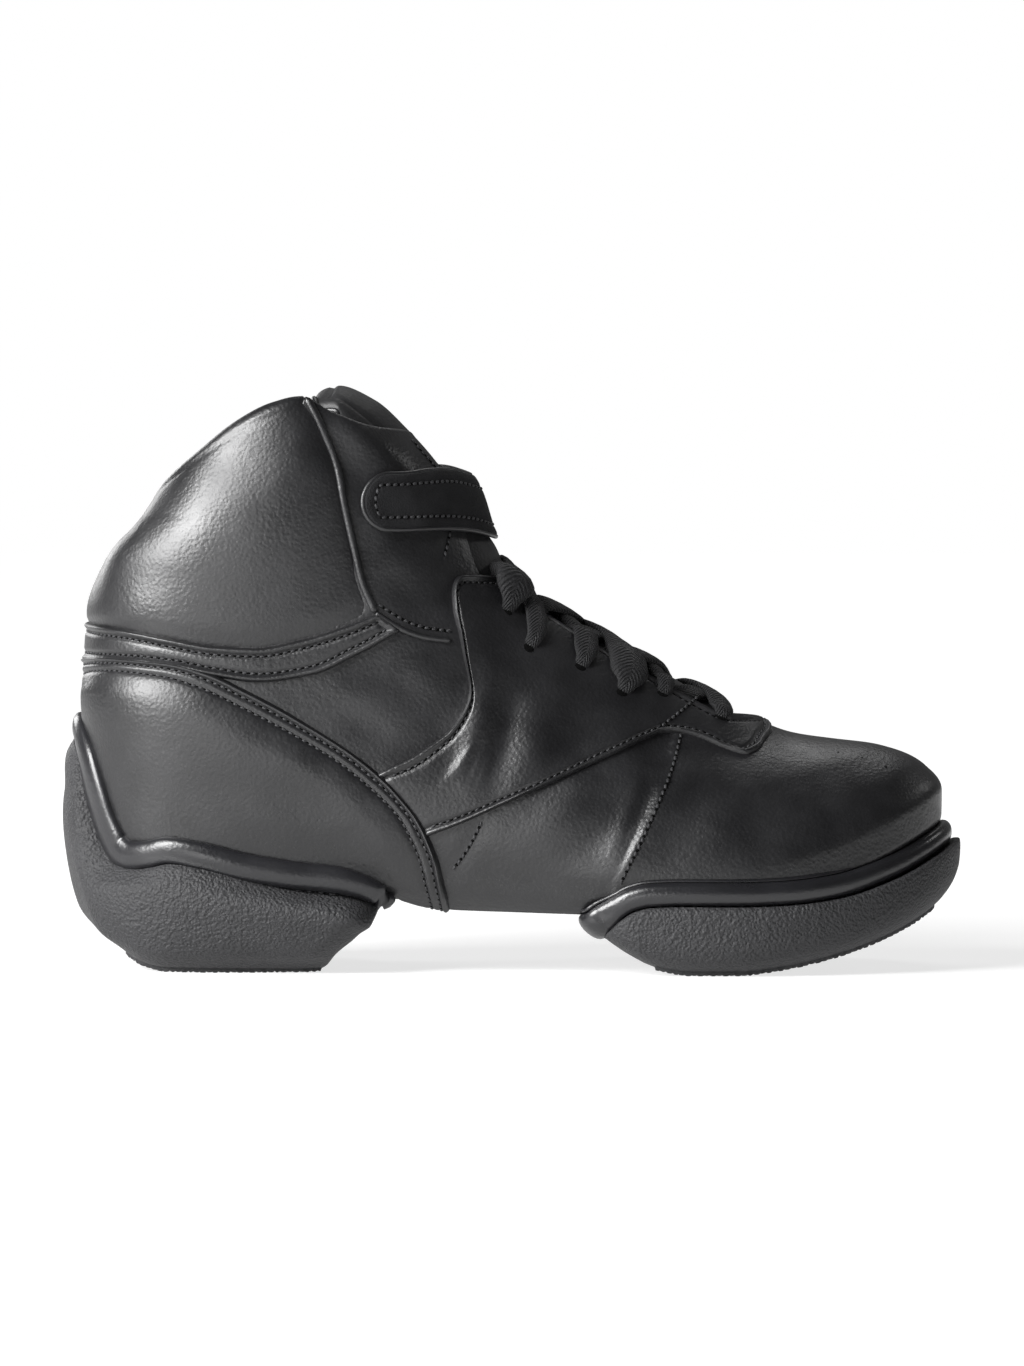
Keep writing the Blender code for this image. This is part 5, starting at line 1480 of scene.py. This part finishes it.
class DANCESHOE_OT_seams(bpy.types.Operator):
    """Piping, bindings, rows of stitches, and needle holes with their painted shade"""

    bl_idname = "dance_shoe.seams"
    bl_label = "Seams"

    def execute(self, context):
        sizes = context.scene.dance_shoe_sizes
        seat = sizes.leather - CHANNEL - 0.05
        piping, threads, holes = [], [], []

        def sew_path(path, normal):
            thread, painted_hole_shade = stitch_row(path, normal, sizes.pitch, sizes.stitch, sizes.thread)
            threads.append(thread)
            holes.append(painted_hole_shade)

        def sew(turn, rise, lift):
            sew_path(*on_seam(turn, rise, lift))

        def pipe(turn, rise, lift, half_wide, half_high):
            path, normal = on_seam(turn, rise, lift)
            piping.append(tube(path, normal, half_wide, half_high, 12, taper=3))

        height = np.linspace(PAD_SEAM[1, 0], PAD_SEAM[-1, 0] - PIPING_STOP, 120)
        for side in (-1, 1):
            turn, rise = side_curve(seam_x(height), height)
            pipe(side * turn, rise, PAD_PIPING[0], sizes.piping, PAD_PIPING[1])
            pipe(*drawn_seam(ANKLE_SEAM, side), *ANKLE_PIPING)
            sew(*drawn_seam(np.array(ANKLE_SEAM) + (0.6, 2.8), side), THREAD_LIFT)
            sew(*drawn_seam(VAMP_SEAM + (2.0, 0.0), side), VAMP_STEP + THREAD_LIFT)
            sew(*drawn_seam(SMALL_SEAM, side), THREAD_LIFT)
            sew(*drawn_seam(TIP_SEAM, side), sizes.leather + 0.1)
            rise = np.linspace(*THROAT_SEWN, 60)
            sew(side * throat_turn(rise, smooth(THROAT, rise)[:, 0] + THROAT_ROW, side), rise, THREAD_LIFT)
            # Pin and lace holes are flat spindles that carry painted shade.
            for table, lift, size, rings in ((PIN_HOLES, VAMP_STEP, PIN_HOLE, HOLE_RINGS),
                                             (LACE_HOLES, sizes.leather - 0.2, LACE_HOLE, LACE_HOLE_RINGS)):
                path, normal = on_seam(*drawn_seam(table, side, len(table)), lift)
                holes.append(spindles(path, normal, np.arange(float(len(table))), size, rings))
        for distance in COUNTER_ROWS:
            turn, rise = panel_line(*counter_edges(), distance)
            sew(turn, rise, (seat + COUNTER_EXTRA) * under_arch(rise))
        for from_high in (False, True):
            sew(*panel_line(*band_edges(), EDGE_ROW, from_high), seat)
            turn, rise = panel_line(*facing_edges(), EDGE_ROW, from_high)
            free = np.flatnonzero(under_counter(last_point(turn, rise)) < 0.05)
            sew(turn[free[0]:free[-1]], rise[free[0]:free[-1]], seat)

        turn, rise, lift, near = strap_grid()
        strap, normal = on_last(turn, rise, lift + STRAP_THICK, False), last_normal(turn, rise)
        row = np.argmax(near[:, near.shape[1] // 2] > STRAP_BORDER)
        column = len(near[0]) - np.argmax(near[len(near) // 2, ::-1] > STRAP_BORDER)

        def border(grid, inset, end):
            return np.concatenate([grid[inset, 2:end], grid[inset + 1:-inset - 1, end - 1],
                                   grid[-inset - 1, end - 1:1:-1]])

        sew_path(border(strap - 0.2 * normal, row, column), border(normal, row, column))
        edge = border(strap - 0.9 * normal, 0, len(near[0]))
        piping.append(tube(edge, border(normal, 0, len(near[0])), *STRAP_PIPING, 8, taper=3))

        top, _, way = tongue_surfaces()
        rim, facing = (np.concatenate([grid[:, 0], grid[-1, 1:-1], grid[::-1, -1]])
                       for grid in (top[TONGUE_PIPED:], way[TONGUE_PIPED:]))
        piping.append(tube(rim, facing, *TONGUE_PIPING, 10, taper=3))

        for line in (ARCH_PIPING, *ARCH_SEAMS):
            x, y = along_rows(line, 80).T
            path = np.column_stack([x, y, foot_line(x) - ARCH_SUNK])
            down = np.broadcast_to((0.0, 0.0, -1.0), path.shape)
            if line is ARCH_PIPING:
                piping.append(tube(path, down, *UNDER_PIPING, 10, taper=3))
            else:
                sew_path(path, down)

        heel = [values[16:-16] for values in heel_bead_path()]
        for (path, facing, half), closed in ((heel, False), (forefoot_bead_path(), True)):
            _, sideways, out = path_frames(path, facing, closed)
            below = sideways * np.where(sideways[:, 2:3] < 0, 1, -1)
            groove = path + below * (half[:, None] + 0.3) - out * 0.9
            place = resampled(groove, WELT_PITCH)
            threads.append(spindles(groove, facing, place, WELT_DASH, THREAD_RINGS))
        new_piece("seam_piping", *joined(piping), [finish("leather")], "leather", crease=SOFT)
        new_piece("stitches", *joined(threads), [finish("thread")], "lace_braid", crease=SOFT)
        # The holes' spindles are painted shade: near black where shadow falls into them.
        new_piece("stitch_holes_painted_shade", *joined(holes), [finish("hole")], "lining", crease=SOFT)
        return {"FINISHED"}


# The stage, in metres and watts
FLOOR_HALF = 12.0
FLOOR_GREY = (0.42, 0.42, 0.42)
FLOOR_GLOW = ((0.2, 1.0), (0.78, 1.05))  # from this span of distances to this one of brightness
FLOOR_CAST = 0.75     # share of that glow that falls on the shoe
FLOOR_GLOSS = 0.07    # share of the mirror image
SKY_GLOW = ((0.3, 0.95), (0.03, 0.16))  # from this span of y in a direction to this one of brightness
CAMERA_LENS = 180.0
CAMERA_SENSOR = 36.0
CAMERA_PLACE = (0.0, -2.05, 0.145)
CAMERA_AIM = (0.0, 0.0, 0.085)
# Soft lights: name, place, aim, size, watts
LIGHTS = (
    ("key_softbox", (-1.05, -0.67, 0.60), (-0.06, 0, 0.10), (0.72, 0.70), 29.0),
    ("top_softbox", (-0.73, -0.78, 0.89), (-0.08, 0, 0.08), (0.45, 0.45), 8.0),
    ("front_softbox", (-0.60, -1.75, 0.12), (0, 0, 0.08), (0.6, 0.4), 3.1),
    ("back_softbox", (0.20, 0.78, 1.08), (0.09, 0, 0.06), (0.5, 0.3), 1.4),
    ("inner_softbox", (-0.90, 1.35, 0.55), (0, 0, 0.09), (0.7, 0.6), 6.0),
    ("tongue_softbox", (1.16, 0.55, 0.76), (-0.01, 0, 0.12), (0.3, 0.2), 0.6))


def aimed(name, data, place, aim):
    """New light or camera at a place, turned towards its aim."""
    made = bpy.data.objects.new(name, data)
    made.location = place
    made.rotation_euler = (Vector(place) - Vector(aim)).to_track_quat("Z", "Y").to_euler()
    bpy.context.scene.collection.objects.link(made)
    return made


class DANCESHOE_OT_stage(bpy.types.Operator):
    """Pale floor, soft lights and the camera"""

    bl_idname = "dance_shoe.stage"
    bl_label = "Stage"

    def execute(self, context):
        scene = context.scene
        mesh = bpy.data.meshes.new("pale_floor")
        far = FLOOR_HALF * np.array([(-1, -1, 0), (1, -1, 0), (1, 1, 0), (-1, 1, 0)])
        mesh.from_pydata(far.tolist(), [], [(0, 1, 2, 3)])
        floor = bpy.data.objects.new("pale_floor", mesh)
        scene.collection.objects.link(floor)
        material, tree, shader = new_finish("pale_paper", FLOOR_GREY, 0.5, specular=0.0)
        place = object_place(tree)
        vary(tree, shader, noise(tree, place, 40.0, 2.0), FLOOR_GREY, 0.006, (0.46, 0.54))
        away = node(tree, "ShaderNodeVectorMath", [(0, place)], operation="LENGTH")
        glow = ramp(tree, away.outputs["Value"], *FLOOR_GLOW)
        seen = node(tree, "ShaderNodeLightPath").outputs["Is Camera Ray"]
        share = ramp(tree, seen, (0.0, 1.0), (FLOOR_CAST, 1.0))
        glow = node(tree, "ShaderNodeMath", [(0, glow), (1, share)], operation="MULTIPLY")
        tree.links.new(glow.outputs[0], shader.inputs["Emission Strength"])
        shader.inputs["Emission Color"].default_value = (1, 1, 1, 1)
        gloss = node(tree, "ShaderNodeBsdfGlossy", Roughness=0.13)
        both = node(tree, "ShaderNodeMixShader", [(1, shader.outputs[0]), (2, gloss.outputs[0])],
                    Fac=FLOOR_GLOSS)
        tree.links.new(both.outputs[0], tree.nodes["Material Output"].inputs["Surface"])
        mesh.materials.append(material)

        world = bpy.data.worlds.new("studio")
        world.use_nodes = True
        tree = world.node_tree
        coords = node(tree, "ShaderNodeTexCoord").outputs["Generated"]
        way = node(tree, "ShaderNodeSeparateXYZ", [("Vector", coords)])
        glow = ramp(tree, way.outputs["Y"], *SKY_GLOW)
        seen = node(tree, "ShaderNodeLightPath").outputs["Is Camera Ray"]
        bright = node(tree, "ShaderNodeMath", [(0, glow), (1, seen)], operation="MAXIMUM")
        tree.links.new(bright.outputs[0], tree.nodes["Background"].inputs["Strength"])
        tree.nodes["Background"].inputs["Color"].default_value = (1, 1, 1, 1)
        scene.world = world
        scene.view_settings.view_transform = "Standard"

        for name, place, aim, size, watts in LIGHTS:
            light = bpy.data.lights.new(name, "AREA")
            light.shape = "RECTANGLE"
            light.size, light.size_y = size
            light.energy = watts
            aimed(name, light, place, aim)

        data = bpy.data.cameras.new("camera")
        data.lens = CAMERA_LENS
        data.sensor_width = CAMERA_SENSOR
        scene.camera = aimed("camera", data, CAMERA_PLACE, CAMERA_AIM)
        return {"FINISHED"}


PIECES = (DANCESHOE_OT_upper, DANCESHOE_OT_collar, DANCESHOE_OT_overlays, DANCESHOE_OT_tongue,
          DANCESHOE_OT_strap, DANCESHOE_OT_lace, DANCESHOE_OT_soles, DANCESHOE_OT_welts,
          DANCESHOE_OT_insole, DANCESHOE_OT_seams, DANCESHOE_OT_stage)


class DANCESHOE_PT_panel(bpy.types.Panel):
    """Sizes, colours and pieces of the dance shoe"""

    bl_idname = "DANCESHOE_PT_panel"
    bl_label = "Dance Shoe"
    bl_space_type = "VIEW_3D"
    bl_region_type = "UI"
    bl_category = "Dance Shoe"

    def draw(self, context):
        for group in (context.scene.dance_shoe_sizes, context.scene.dance_shoe_colours):
            for key in group.__annotations__:
                self.layout.prop(group, key)
        for piece in PIECES:
            self.layout.operator(piece.bl_idname)


CLASSES = (DanceShoeSizes, DanceShoeColours, *PIECES, DANCESHOE_PT_panel)


def register():
    for cls in CLASSES:
        bpy.utils.register_class(cls)
    bpy.types.Scene.dance_shoe_sizes = PointerProperty(type=DanceShoeSizes)
    bpy.types.Scene.dance_shoe_colours = PointerProperty(type=DanceShoeColours)


def unregister():
    del bpy.types.Scene.dance_shoe_colours
    del bpy.types.Scene.dance_shoe_sizes
    for cls in reversed(CLASSES):
        bpy.utils.unregister_class(cls)


def main():
    """Build every piece in order."""
    register()
    for piece in PIECES:
        group, name = piece.bl_idname.split(".")
        getattr(getattr(bpy.ops, group), name)()


if __name__ == "__main__":
    main()
